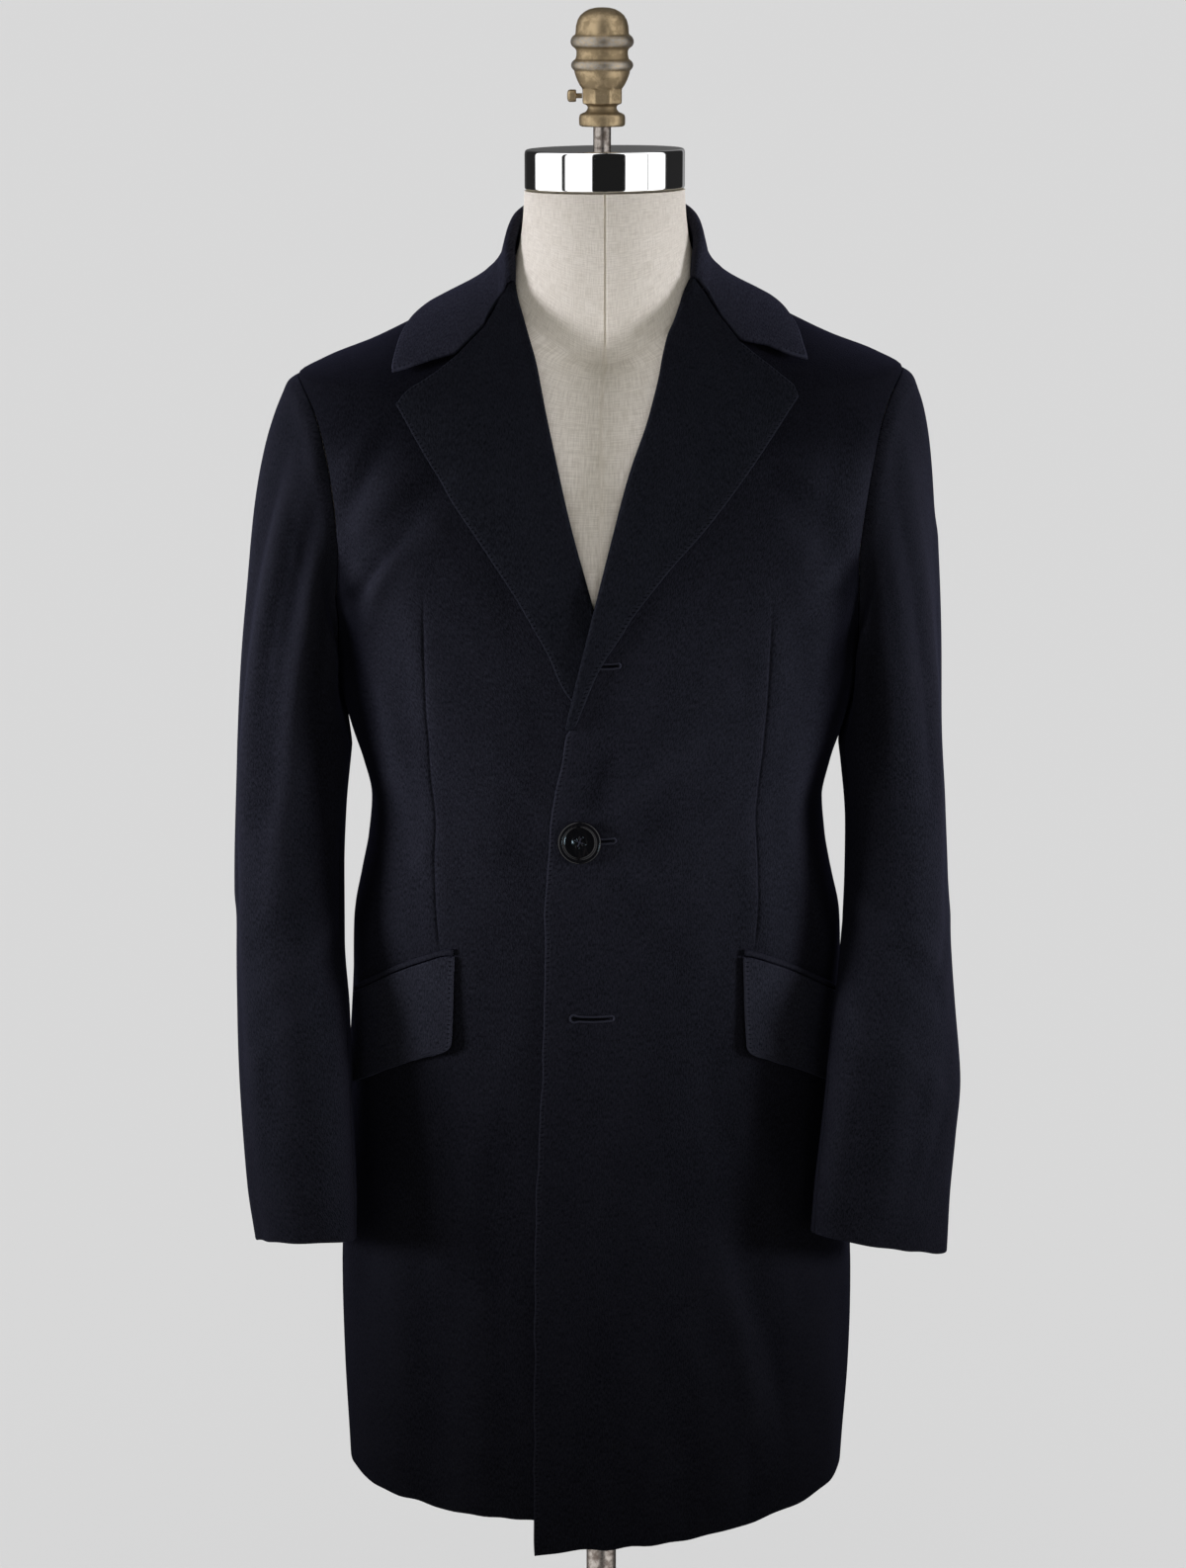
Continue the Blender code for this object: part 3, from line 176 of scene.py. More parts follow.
LAID_CLEAR = 0.0021  # from the skin to the underside of a laid lapel or collar
FOLD_RADIUS, TIGHT_FOLD = 0.003, 0.0017  # roll of the collar and lapels, and where the fronts cross
FOLD_OPENS = (1.27, 1.36)  # heights between which the lapels' roll goes from the second to the first
ROLL_SETTLE = 0.028  # how far from the roll line the turned cloth has sunk down

# ---------------------------------------------------------------- grid spacing of the fine surfaces
NEAR = np.array([0.0, 0.0003, 0.0008, 0.0015, 0.0024, 0.004, 0.007])  # rows and columns beside an edge
DART_NEAR = np.array([0.0004, 0.0009, 0.0015, 0.0024, 0.004])  # and beside a dart
FREE = (0.0019, 0.14)  # how far in from an edge the wall is whole, and its share of itself at the edge
SEWN = (0.0016, 0.48)
EDGED_WALL = 0.0031  # lapels, collar and flaps, which are two cloths turned in at their edges
LINED_FROM = {"trunk": 0.032, "sleeve": 0.040}  # how far in from hem and cuff the inside turns to lining

ROW_STEP, NECK_STEP = 0.0040, 0.0026  # between the trunk's rows, below its armholes and above them
HOLE_ROWS = 69
FRONT_COLUMNS, BACK_COLUMNS = (34, 32), 62  # a front's on the two sides of its dart
TOP_SLEEVE_COLUMNS, UNDER_SLEEVE_COLUMNS = 96, 34
HEAD_ROWS, ARM_ROWS = 68, 84
LAPEL_GRID, COLLAR_GRID = (112, 40), (78, 26)  # steps along the roll line, and across from it
# Rough lengths, which turn the distances NEAR into shares: a sleeve's head, the step between two of its
# rings, a lapel's roll line and half the collar's.
HEAD_LENGTH, RING_LENGTH, LAPEL_LENGTH, COLLAR_LENGTH = 0.2, 0.048, 0.34, 0.22
NARROW = 0.085  # where a trunk row is narrower than this, its columns beside an edge or dart move together
POCKET_COLUMNS = 26

# Seeds of the slow waves, to most of which the side is added.
SEEDS = {
    "front": 11, "back": 17, "hem": 23, "front_edge": 31, "sleeve": 41, "cuff": 47, "lapel": 61, "flap": 71,
}


# ---------------------------------------------------------------- small numeric helpers
def hermite(u, start, leaving, end, arriving):
    """Cubic from start to end for u from 0 to 1, with these slopes at its two ends."""
    return (
        (1 + 2 * u) * (1 - u) ** 2 * start
        + u * (1 - u) ** 2 * leaving
        + u * u * (3 - 2 * u) * end
        + u * u * (u - 1) * arriving
    )


def monotone(knots, values, at):
    """Cubic through the knots, with slopes that never make it overshoot them."""
    step = np.diff(knots)
    rise = np.diff(values) / step
    slope = np.concatenate([rise[:1], np.zeros(len(knots) - 2), rise[-1:]])
    same_way = rise[:-1] * rise[1:] > 0
    before, after = 2 * step[1:] + step[:-1], step[1:] + 2 * step[:-1]
    slope[1:-1][same_way] = (before + after)[same_way] / (
        before[same_way] / rise[:-1][same_way] + after[same_way] / rise[1:][same_way]
    )
    at = np.clip(np.asarray(at, float), knots[0], knots[-1])
    cell = np.clip(np.searchsorted(knots, at) - 1, 0, len(knots) - 2)
    width = step[cell]
    u = (at - knots[cell]) / width
    return hermite(u, values[cell], width * slope[cell], values[cell + 1], width * slope[cell + 1])


def read(table, at, column=1):
    """Smooth value of a table's column at these values of its first column."""
    return monotone(table[:, 0], table[:, column], at)


def smooth_step(value, start, end):
    """0 before start, 1 after end, and 3u^2 - 2u^3 of the share u between them."""
    u = np.clip((value - start) / (end - start), 0, 1)
    return u * u * (3 - 2 * u)


def bell(value, half_width):
    """1 at zero, falling off as exp(-(value / half_width)^2)."""
    return np.exp(-((value / half_width) ** 2))


def unit(vectors):
    """Each vector divided by its length."""
    return vectors / np.linalg.norm(vectors, axis=-1, keepdims=True)


def square_to(vectors, normal):
    """Unit vectors along what is left of each vector when its part along the unit normal is taken off."""
    return unit(vectors - (vectors * normal).sum(-1, keepdims=True) * normal)


def line_length(points):
    """Length of a polyline, given as rows."""
    return np.linalg.norm(np.diff(points, axis=0), axis=1).sum()


def along(points, fractions):
    """Points at these fractions of the length of a polyline, given as rows."""
    lengths = np.concatenate([[0], np.cumsum(np.linalg.norm(np.diff(points, axis=0), axis=1))])
    places = np.asarray(fractions) * lengths[-1]
    return np.stack([np.interp(places, lengths, points[:, k]) for k in range(points.shape[1])], -1)


def lengths_along(grid, axis):
    """Running length of a grid's lines along one axis."""
    steps = np.linalg.norm(np.diff(grid, axis=axis), axis=-1)
    start = np.zeros_like(np.take(steps, [0], axis=axis))
    return np.concatenate([start, np.cumsum(steps, axis=axis)], axis=axis)


def grid_normals(grid):
    """Unit cross product of a grid's two directions at each point."""
    up, across = np.gradient(grid, axis=0), np.gradient(grid, axis=1)
    return unit(np.cross(across, up))


def closing_up(start, end, near, count):
    """Values from start to end that are even in the middle and close up, as near says, at both ends."""
    middle = np.linspace(start + near[-1], end - near[-1], count)[1:-1]
    return np.concatenate([start + near, middle, end - near[::-1]])


def spread(stops, steps):
    """Columns of distance, row by row: each two neighbouring stops are split into so many equal steps."""
    parts = [
        stops[k][:, None] + (stops[k + 1] - stops[k])[:, None] * np.arange(steps[k]) / steps[k]
        for k in range(len(steps))
    ]
    return np.concatenate([*parts, stops[-1][:, None]], axis=1)


def slow_waves(u, v, seed, amount, length=0.07, stretch=2.6):
    """Uneven slow waves: a sum of seven sines of random direction, long in v, about this wavelength in u."""
    rng = np.random.default_rng(seed)
    total = np.zeros(np.broadcast(u, v).shape)
    for _ in range(7):
        wave_u = 2 * math.pi / length * rng.uniform(0.45, 1.3) * rng.choice([-1, 1])
        wave_v = 2 * math.pi / (length * stretch) * rng.uniform(-1, 1)
        total += np.sin(u * wave_u + v * wave_v + rng.uniform(0, 2 * math.pi)) * rng.uniform(0.5, 1)
    return total * amount / 2.2


# ---------------------------------------------------------------- the skin
def ring(column, height):
    """A column of the skin's table at these heights."""
    return read(SKIN, height, SKIN_COLUMNS.index(column))


def skin(bearing, height):
    """A superellipse ring at each height, tilted so that it meets front_z, side_z and back_z."""
    bearing, height = np.broadcast_arrays(np.asarray(bearing, float), np.asarray(height, float))
    in_front = np.cos(bearing) > 0
    depth, end_z, power = (
        np.where(in_front, ring(front, height), ring(back, height))
        for front, back in FRONT_AND_BACK
    )
    sine, cosine = np.sin(bearing), np.cos(bearing)
    sideways, forwards = np.abs(sine / ring("half_width", height)), np.abs(cosine / depth)
    reach = (sideways**power + forwards**power) ** (-1 / power)
    x = reach * sine + ring("centre_x", height)
    z = height + (end_z - height) * cosine**2 + LEAN_SLOPE * x * smooth_step(height, LEAN_FROM, LEAN_FULL)
    return np.stack([x, -reach * cosine, z], -1)


def skin_normal(bearing, height, nudge=1e-4):
    """Unit normal of the skin, from its points a small step to each side."""
    across = skin(bearing + nudge, height) - skin(bearing - nudge, height)
    up = skin(bearing, height + nudge) - skin(bearing, height - nudge)
    return unit(np.cross(across, up))


def off_skin(bearing, height, lift):
    """Points of the skin moved out along its normal."""
    return skin(bearing, height) + skin_normal(bearing, height) * np.asarray(lift, float)[..., None]


def bearing_across(across, height):
    """Bearing, on the front of the ring at this height, of a point this far across."""
    power = ring("squareness", height)
    x = across - ring("centre_x", height)
    left = np.clip(1 - np.abs(x / ring("half_width", height)) ** power, 1e-9, None)
    return np.arctan2(x, ring("front_depth", height) * left ** (1 / power))


def place_on_front(z, across):
    """Bearing and ring height of points on the front, given as seen from the front.

    The ring height is found in steps, each of which takes up 0.7 of the height that is still missing.
    """
    z, across = np.asarray(z, float), np.asarray(across, float)
    height = z.copy()
    for _ in range(60):
        bearing = bearing_across(across, height)
        height = np.clip(height + 0.7 * (z - skin(bearing, height)[..., 2]), HEM, SKIN[-1, 0])
    return bearing_across(across, height), height


# ---------------------------------------------------------------- node trees and materials
class Net:
    """Adds nodes to one node tree, and joins or sets their inputs as it does."""

    def __init__(self, tree):
        self.tree = tree

    def feed(self, value, socket):
        """Join a socket to this input, or set it as the input's constant."""
        if isinstance(value, bpy.types.NodeSocket):
            self.tree.links.new(value, socket)
        else:
            socket.default_value = value

    def add(self, kind, inputs=None, **settings):
        node = self.tree.nodes.new(kind)
        for name, value in settings.items():
            setattr(node, name, value)
        for name, value in (inputs or {}).items():
            self.feed(value, node.inputs[name])
        return node

    def math(self, operation, *values, clamp=False):
        inputs = dict(enumerate(values))
        return self.add("ShaderNodeMath", inputs, operation=operation, use_clamp=clamp).outputs[0]

    def total(self, *terms):
        """Sum of each pair's value times its weight."""
        value, *others = [self.math("MULTIPLY", *term) for term in terms]
        for other in others:
            value = self.math("ADD", value, other)
        return value

    def place(self, kind):
        """Texture coordinates of this kind."""
        return self.add("ShaderNodeTexCoord").outputs[kind]

    def mark(self, name):
        """A value that the mesh carries at its points."""
        return self.add("ShaderNodeAttribute", attribute_name=name).outputs["Fac"]

    def noise(self, vector, scale, detail=2.0, roughness=0.5, distortion=0.0, stretch=None):
        """Noise, where wanted on coordinates that are first multiplied by stretch."""
        if stretch:
            vector = self.add("ShaderNodeMapping", {"Vector": vector, "Scale": stretch}).outputs[0]
        inputs = {"Vector": vector, "Scale": scale, "Detail": detail, "Roughness": roughness,
                  "Distortion": distortion}
        return self.add("ShaderNodeTexNoise", inputs).outputs["Fac"]

    def ramp(self, value, low, high, to_low=0.0, to_high=1.0):
        """A smooth change from to_low to to_high as the value goes from low to high."""
        inputs = {"Value": value, "From Min": low, "From Max": high, "To Min": to_low, "To Max": to_high}
        return self.add("ShaderNodeMapRange", inputs, interpolation_type="SMOOTHSTEP").outputs[0]

    def mix(self, share, first, second):
        """From the first colour at share 0 to the second at share 1."""
        colors = [(*color, 1.0) if isinstance(color, tuple) else color for color in (first, second)]
        return self.add("ShaderNodeMix", {0: share, 6: colors[0], 7: colors[1]}, data_type="RGBA").outputs[2]

    def bell(self, value, middle, half_width):
        """exp(-((value - middle) / half_width)^2)."""
        away = self.math("DIVIDE", self.math("SUBTRACT", value, middle), half_width)
        return self.math("EXPONENT", self.math("MULTIPLY", self.math("MULTIPLY", away, away), -1.0))

    def bump(self, height, strength):
        """The normal of a surface raised by this many metres."""
        inputs = {"Strength": strength, "Distance": 1.0, "Height": height}
        return self.add("ShaderNodeBump", inputs).outputs[0]


def new_group(name, outputs):
    """A node group with these float outputs; returns its net and its output node."""
    tree = bpy.data.node_groups.new(name, "ShaderNodeTree")
    for output in outputs:
        tree.interface.new_socket(output, in_out="OUTPUT", socket_type="NodeSocketFloat")
    net = Net(tree)
    return net, net.add("NodeGroupOutput")


# Noises of the nap: stretch down the cloth, scale, roughness, distortion, the range that shows, share of the
# tone and depth in metres.
NAP_NOISES = (
    (0.30, 1150.0, 0.60, 0.0, 0.34, 0.66, 0.66, 0.00015),  # fine fibres
    (0.50, 480.0, 0.60, 0.4, 0.32, 0.68, 0.24, 0.00015),  # tufts a few millimetres across
    (0.60, 60.0, 0.55, 0.3, 0.30, 0.70, 0.10, 0.0002),  # slow shading
)


def nap_group():
    """Brushed nap of the coating, from the cloth's own UV in metres: Tone 0 to 1 and Height in metres."""
    net, out = new_group("wool_nap", ("Tone", "Height"))
    cloth = net.place("UV")
    tones, depths = [], []
    for stretch, scale, roughness, distortion, low, high, share, depth in NAP_NOISES:
        noise = net.noise(cloth, scale, 3.0, roughness, distortion, (1.0, stretch, 1.0))
        level = net.ramp(noise, low, high)
        tones.append((level, share))
        depths.append((level, depth))
    net.feed(net.total(*tones), out.inputs["Tone"])
    net.feed(net.total(*depths), out.inputs["Height"])
    return net.tree


STITCH_BEAT = 0.0036  # from one pick stitch to the next
STITCH_LINE, STITCH_SPOT = (0.0026, 0.0008), (0.0024, 0.0012)  # distance in from the edge, half-width
EDGE_HIGHLIGHT_FADE = (0.0010, 0.0056)  # where the painted highlight on the edge starts to fade, and where it is gone


def stitch_group():
    """Pick stitches beside a free edge, from the cloth's distance to it and along it.

    Pit is a shallow line with a deeper spot at each stitch; EdgeHighlight, a painted highlight, is 1 on the
    outermost millimetre.
    """
    net, out = new_group("pick_stitch", ("Pit", "EdgeHighlight"))
    away, run = net.mark("edge_away"), net.mark("edge_run")
    line, spot = net.bell(away, *STITCH_LINE), net.bell(away, *STITCH_SPOT)
    beat = net.math("COSINE", net.math("MULTIPLY", run, 2 * math.pi / STITCH_BEAT))
    beat = net.math("POWER", net.math("MAXIMUM", beat, 0.0), 2.0)
    net.feed(net.total((line, 0.30), (spot, beat)), out.inputs["Pit"])
    net.feed(net.ramp(away, *EDGE_HIGHLIGHT_FADE, 1.0, 0.0), out.inputs["EdgeHighlight"])
    return net.tree


def new_material(name, color=(0.5, 0.5, 0.5), roughness=0.5, metallic=0.0, **more):
    """A Principled material; more holds further shader inputs, with spaces as underscores."""
    made = bpy.data.materials.new(name)
    made.use_nodes = True
    shader = made.node_tree.nodes["Principled BSDF"]
    shader.inputs["Base Color"].default_value = (*color, 1.0)
    shader.inputs["Roughness"].default_value = roughness
    shader.inputs["Metallic"].default_value = metallic
    for key, value in more.items():
        shader.inputs[key.replace("_", " ")].default_value = value
    return made, Net(made.node_tree), shader


NAP, STITCH = nap_group(), stitch_group()
EDGE_HIGHLIGHT_TONE, FOLD_LIGHT_AND_SHADE_TONE, PIT_SHADE_TONE = 0.55, 0.26, 0.85  # how much the painted highlight on edges and painted light on ridges lighten, and painted shade darkens troughs and stitch pits
SHADE_KEEPS = 0.10  # share of its colour that the wool keeps under full painted shade
PIT_DEPTH = 0.0006


def wool(name, dark, light, sheen, tint):
    """Napped coating: dark between the tufts, lighter on them, with a painted highlight on the edges.

    The mark lift, from -1 to 1, is how high the cloth lies; it paints light on ridges and shade in troughs.
    The mark painted_shade, from 0 to 1, is painted shade: beside the arms, on the shoulders, chest and skirt.
    """
    made, net, shader = new_material(
        name, dark, 0.95, Specular_IOR_Level=0.0, Sheen_Weight=sheen, Sheen_Roughness=0.5,
        Sheen_Tint=(*tint, 1.0),
    )
    nap = net.add("ShaderNodeGroup", node_tree=NAP)
    stitch = net.add("ShaderNodeGroup", node_tree=STITCH)
    pit = stitch.outputs["Pit"]
    # A painted highlight along the free edges.
    tone = net.math("ADD", nap.outputs["Tone"], net.math("MULTIPLY", stitch.outputs["EdgeHighlight"], EDGE_HIGHLIGHT_TONE))
    # Painted light on ridges and painted shade in troughs, from how high the cloth lies.
    tone = net.math("ADD", tone, net.math("MULTIPLY", net.mark("lift"), FOLD_LIGHT_AND_SHADE_TONE))
    # Painted shade in the stitch pits.
    tone = net.math("SUBTRACT", tone, net.math("MULTIPLY", pit, PIT_SHADE_TONE), clamp=True)
    shaded_colors = [tuple(SHADE_KEEPS * value for value in color) for color in (dark, light)]
    # Painted shade: where its mark is 1, the colour keeps only a small share of itself.
    color = net.mix(net.mark("painted_shade"), net.mix(tone, dark, light), net.mix(tone, *shaded_colors))
    height = net.math("SUBTRACT", nap.outputs["Height"], net.math("MULTIPLY", pit, PIT_DEPTH))
    net.feed(color, shader.inputs["Base Color"])
    net.feed(net.bump(height, 0.55), shader.inputs["Normal"])
    return made


WOOL = wool("navy_wool", (0.0036, 0.0037, 0.0043), (0.0165, 0.0167, 0.02), 0.032, (0.66, 0.66, 1.0))
# Copies of the wool: darker on the lapels as painted shade, lighter on the flaps and collar as painted light.
LAPEL_WOOL_SHADED = wool("lapel_wool_shaded", (0.0029, 0.0031, 0.0036), (0.0131, 0.0138, 0.0161), 0.022, (0.66, 0.68, 1.0))
FLAP_WOOL_LIT = wool("flap_wool_lit", (0.0056, 0.0058, 0.0067), (0.0246, 0.0251, 0.0299), 0.036, (0.66, 0.66, 1.0))
COLLAR_WOOL_LIT = wool("collar_wool_lit", (0.0081, 0.0082, 0.0107), (0.0302, 0.0305, 0.039), 0.03, (0.66, 0.66, 1.0))


def satin_lining():
    """Dark lining with a soft shine and slight puckers, from the cloth's UV."""
    made, net, shader = new_material("lining", (0.010, 0.010, 0.016), 0.38, Specular_IOR_Level=0.35)
    pucker = net.noise(net.place("UV"), 70.0, 3.0, stretch=(1.0, 0.25, 1.0))
    net.feed(net.bump(net.math("MULTIPLY", pucker, 0.004), 0.5), shader.inputs["Normal"])
    return made


LINING = satin_lining()


def mottled(name, color, rough, specular, shades, scale, ramp=None, **noise):
    """A surface whose colour wanders between two shades with noise, which a ramp may sharpen."""
    made, net, shader = new_material(name, color, rough, Specular_IOR_Level=specular)
    share = net.noise(net.place("Object"), scale, **noise)
    if ramp:
        share = net.ramp(share, *ramp)
    net.feed(net.mix(share, *shades), shader.inputs["Base Color"])
    return made


# Twisted silk thread, a dark strip of painted shade inside a buttonhole, polished horn with brown streaks,
# and the ground.
THREAD = mottled("thread", (0.012, 0.013, 0.020), 0.7, 0.04,
                 ((0.010, 0.010, 0.013), (0.032, 0.033, 0.041)), 2200.0)
SLIT_SHADE = mottled("slit_shade_wool", (0.0015, 0.0015, 0.002), 0.95, 0.0,
               ((0.0010, 0.0010, 0.0013), (0.0030, 0.0031, 0.0038)), 1800.0)
HORN = mottled("dark_horn", (0.012, 0.010, 0.009), 0.10, 0.26,
               ((0.0035, 0.0034, 0.0036), (0.012, 0.010, 0.009)), 260.0, (0.5, 0.85),
               detail=4.0, roughness=0.6, distortion=1.2, stretch=(1.0, 1.0, 0.25))
GROUND = mottled("pale_ground", (0.60,) * 3, 0.95, 0.0, ((0.596,) * 3, (0.604,) * 3), 900.0)


def linen_material():
    """Stretched unbleached linen: a fine plain weave with slubs, slightly soiled in patches."""
    made, net, shader = new_material("cream_linen", (0.76, 0.69, 0.60), 0.85, Specular_IOR_Level=0.2)
    cloth = net.place("UV")
    stretches = ((1.0, 0.06, 1.0), (0.06, 1.0, 1.0))
    warp, weft = (net.noise(cloth, 1500.0, 2.0, 0.6, stretch=stretch) for stretch in stretches)
    weave = net.math("MULTIPLY", net.math("ADD", warp, weft), 0.5)
    clean = net.mix(net.ramp(weave, 0.38, 0.62), (0.66, 0.595, 0.45), (0.82, 0.755, 0.60))
    soil = net.ramp(net.noise(cloth, 26.0, 5.0, 0.6), 0.50, 0.78, 0.0, 0.22)
    net.feed(net.mix(soil, clean, (0.54, 0.47, 0.34)), shader.inputs["Base Color"])
    net.feed(net.bump(net.math("MULTIPLY", weave, 0.0004), 0.6), shader.inputs["Normal"])
    return made


LINEN = linen_material()
BARE_METAL = (0.27, 0.25, 0.225)


def metal(name, bright, dull, smooth, rough, scale, dirt=0.0, metallic=1.0):
    """Metal whose colour and roughness wander between two states with noise.

    With dirt, the mark hollow darkens grooves and the mark worn bares grey metal on the crests.
    """
    made, net, shader = new_material(name, bright, smooth, metallic)
    place = net.place("Object")
    wear = net.ramp(net.noise(place, scale, 6.0, 0.62, 0.2), 0.36, 0.66)
    if dirt:
        wear = net.math("ADD", wear, net.math("MULTIPLY", net.mark("hollow"), dirt), clamp=True)
    color = net.mix(wear, bright, dull)
    if dirt:
        streaks = net.noise(place, 420.0, 4.0, 0.6, stretch=(1.0, 1.0, 3.0))
        bare = net.math("MULTIPLY", net.mark("worn"), net.ramp(streaks, 0.36, 0.60, 0.25, 1.0))
        color = net.mix(bare, color, BARE_METAL)
    net.feed(color, shader.inputs["Base Color"])
    net.feed(net.ramp(wear, 0.0, 1.0, smooth, rough), shader.inputs["Roughness"])
    return made


CHROME = metal("chrome", (0.90, 0.90, 0.91), (0.86, 0.86, 0.87), 0.035, 0.06, 30.0)
STEEL = metal("steel", (0.33, 0.30, 0.275), (0.13, 0.105, 0.09), 0.34, 0.52, 170.0)
BRASS = metal("aged_brass", (0.37, 0.285, 0.175), (0.23, 0.175, 0.105), 0.44, 0.58, 130.0, dirt=0.5)
IRON = metal("black_iron", (0.035, 0.035, 0.037), (0.022, 0.022, 0.023), 0.36, 0.52, 60.0, metallic=0.2)


# ---------------------------------------------------------------- meshes
def add_mesh(name, points, faces, materials, uv=None, marks=None, index=None, sharp_angle=None):
    """One mesh object from an array of points and its faces, with values carried by its points.

    Faces are an array of quads, or lists of corners where a solid has flat ends.
    """
    mesh = bpy.data.meshes.new(name)
    points = points.reshape(-1, 3)
    if isinstance(faces, np.ndarray):
        mesh.vertices.add(len(points))
        mesh.vertices.foreach_set("co", np.ascontiguousarray(points, np.float32).ravel())
        mesh.loops.add(faces.size)
        mesh.loops.foreach_set("vertex_index", np.ascontiguousarray(faces, np.int32).ravel())
        mesh.polygons.add(len(faces))
        mesh.polygons.foreach_set("loop_start", np.arange(0, faces.size, faces.shape[1], dtype=np.int32))
        mesh.update(calc_edges=True)
    else:
        mesh.from_pydata(np.asarray(points, float).tolist(), [], faces)
    for material in materials:
        mesh.materials.append(material)
    if index is not None:
        mesh.polygons.foreach_set("material_index", np.ascontiguousarray(index, np.int32))
    if uv is not None:
        corners = np.empty(len(mesh.loops), np.int32)
        mesh.loops.foreach_get("vertex_index", corners)
        layer = mesh.uv_layers.new(name="cloth")
        layer.data.foreach_set("uv", np.ascontiguousarray(uv[corners], np.float32).ravel())
    for mark, values in (marks or {}).items():
        attribute = mesh.attributes.new(mark, "FLOAT", "POINT")
        attribute.data.foreach_set("value", np.ascontiguousarray(values, np.float32))
    mesh.shade_smooth()
    if sharp_angle is not None:
        mesh.set_sharp_from_angle(angle=math.radians(sharp_angle))
    made = bpy.data.objects.new(name, mesh)
    bpy.context.scene.collection.objects.link(made)
    return made


def declare(made, node=None):
    """Attach a piece to the root body, and hide the part's node that it takes the place of."""
    if node:
        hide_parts(node)
    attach(made, "root")


def grid_faces(rows, columns, wrap=False):
    """Quads of a grid of points stored row by row."""
    row = np.arange(rows - 1)[:, None]
    column = np.arange(columns if wrap else columns - 1)[None, :]
    after = (column + 1) % columns
    here, above = row * columns, (row + 1) * columns
    corners = (here + column, here + after, above + after, above + column)
    return np.stack([np.broadcast_to(c, (rows - 1, column.size)) for c in corners], -1).reshape(-1, 4)


def wall_share(away, kind):
    """Share of the wall left this far from an edge: a quarter circle up from its least share."""
    reach, least = kind
    u = np.clip(away / reach, 0, 1)
    return least + (1 - least) * np.sqrt(np.clip(1 - (1 - u) ** 2, 0, None))


cloth_pieces = {}


def add_cloth(node, face, way, wall, ends, stitched=(), lining=None, material=WOOL, from_middle=False,
              free=None, lift=0.0, painted_shade=0.0):
    """A cloth piece: the grid of its outer face closed into a wall with rounded edges.

    way is 1 or -1, so that the grid's normals times it point out. ends are the kinds of its first and
    last columns and first and last rows, and stitched names those that carry pick stitches. lining is
    how far from the first row, and from a free first column, the inside turns from cloth to lining. free
    gives, for an end row that is partly sewn, which of its columns are free. lift and painted_shade are
    marks: lift paints light on ridges and shade in troughs, and painted_shade paints shade.
    """
    free = free or {}
    ends = [
        tuple(np.where(free[k], f, sewn) for f, sewn in zip(FREE, SEWN)) if k in free else kind
        for k, kind in enumerate(ends)
    ]
    normals = grid_normals(face) * way
    middle = face if from_middle else face - normals * (wall / 2)
    across, up = lengths_along(middle, 1), lengths_along(middle, 0)
    away = [across, across[:, -1:] - across, up, up[-1:] - up]
    share = np.minimum.reduce([wall_share(a, kind) for a, kind in zip(away, ends)])
    half = normals * (wall / 2 * share)[..., None]
    rows, columns = face.shape[:2]
    count = rows * columns
    index = np.arange(count).reshape(rows, columns)
    border = np.concatenate([index[0, :-1], index[:-1, -1], index[-1, :0:-1], index[:0:-1, 0]])
    following = np.roll(border, -1)
    rim = np.stack([following, border, border + count, following + count], -1)
    patch = grid_faces(rows, columns)
    faces = np.concatenate([patch, patch[:, ::-1] + count, rim])
    if way < 0:
        faces = faces[:, ::-1]
    edge_away, edge_run = np.full((rows, columns), 1.0), np.zeros((rows, columns))
    for k in stitched:
        nearer = (away[k] < edge_away) & free.get(k, True)
        edge_away = np.where(nearer, away[k], edge_away)
        edge_run = np.where(nearer, up if k < 2 else across, edge_run)
    index, materials = None, [material]
    if lining is not None:
        inside = (away[2] > lining) & (away[0] > (lining if ends[0] is FREE else -1.0))
        lined = inside.ravel()[patch].all(axis=1)
        index = np.concatenate([np.zeros(len(patch)), lined, np.zeros(len(rim))]).astype(np.int32)
        materials.append(LINING)
    marks = {"edge_away": edge_away, "edge_run": edge_run, "lift": lift, "painted_shade": painted_shade}
    marks = {
        mark: np.tile(np.broadcast_to(value, (rows, columns)).ravel(), 2) for mark, value in marks.items()
    }
    uv = np.tile(np.stack([across, up], -1).reshape(-1, 2), (2, 1))
    points = np.stack([middle + half, middle - half])
    made = add_mesh(node + "_cloth", points, faces, materials, uv, marks, index)
    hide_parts(node)
    cells = (middle[1:, 1:] - middle[:-1, :-1], middle[1:, :-1] - middle[:-1, 1:])
    area = float(np.linalg.norm(np.cross(*cells), axis=-1).sum() / 2)
    cloth_pieces[node] = (made, float(across.max()), float(up.max()), area)


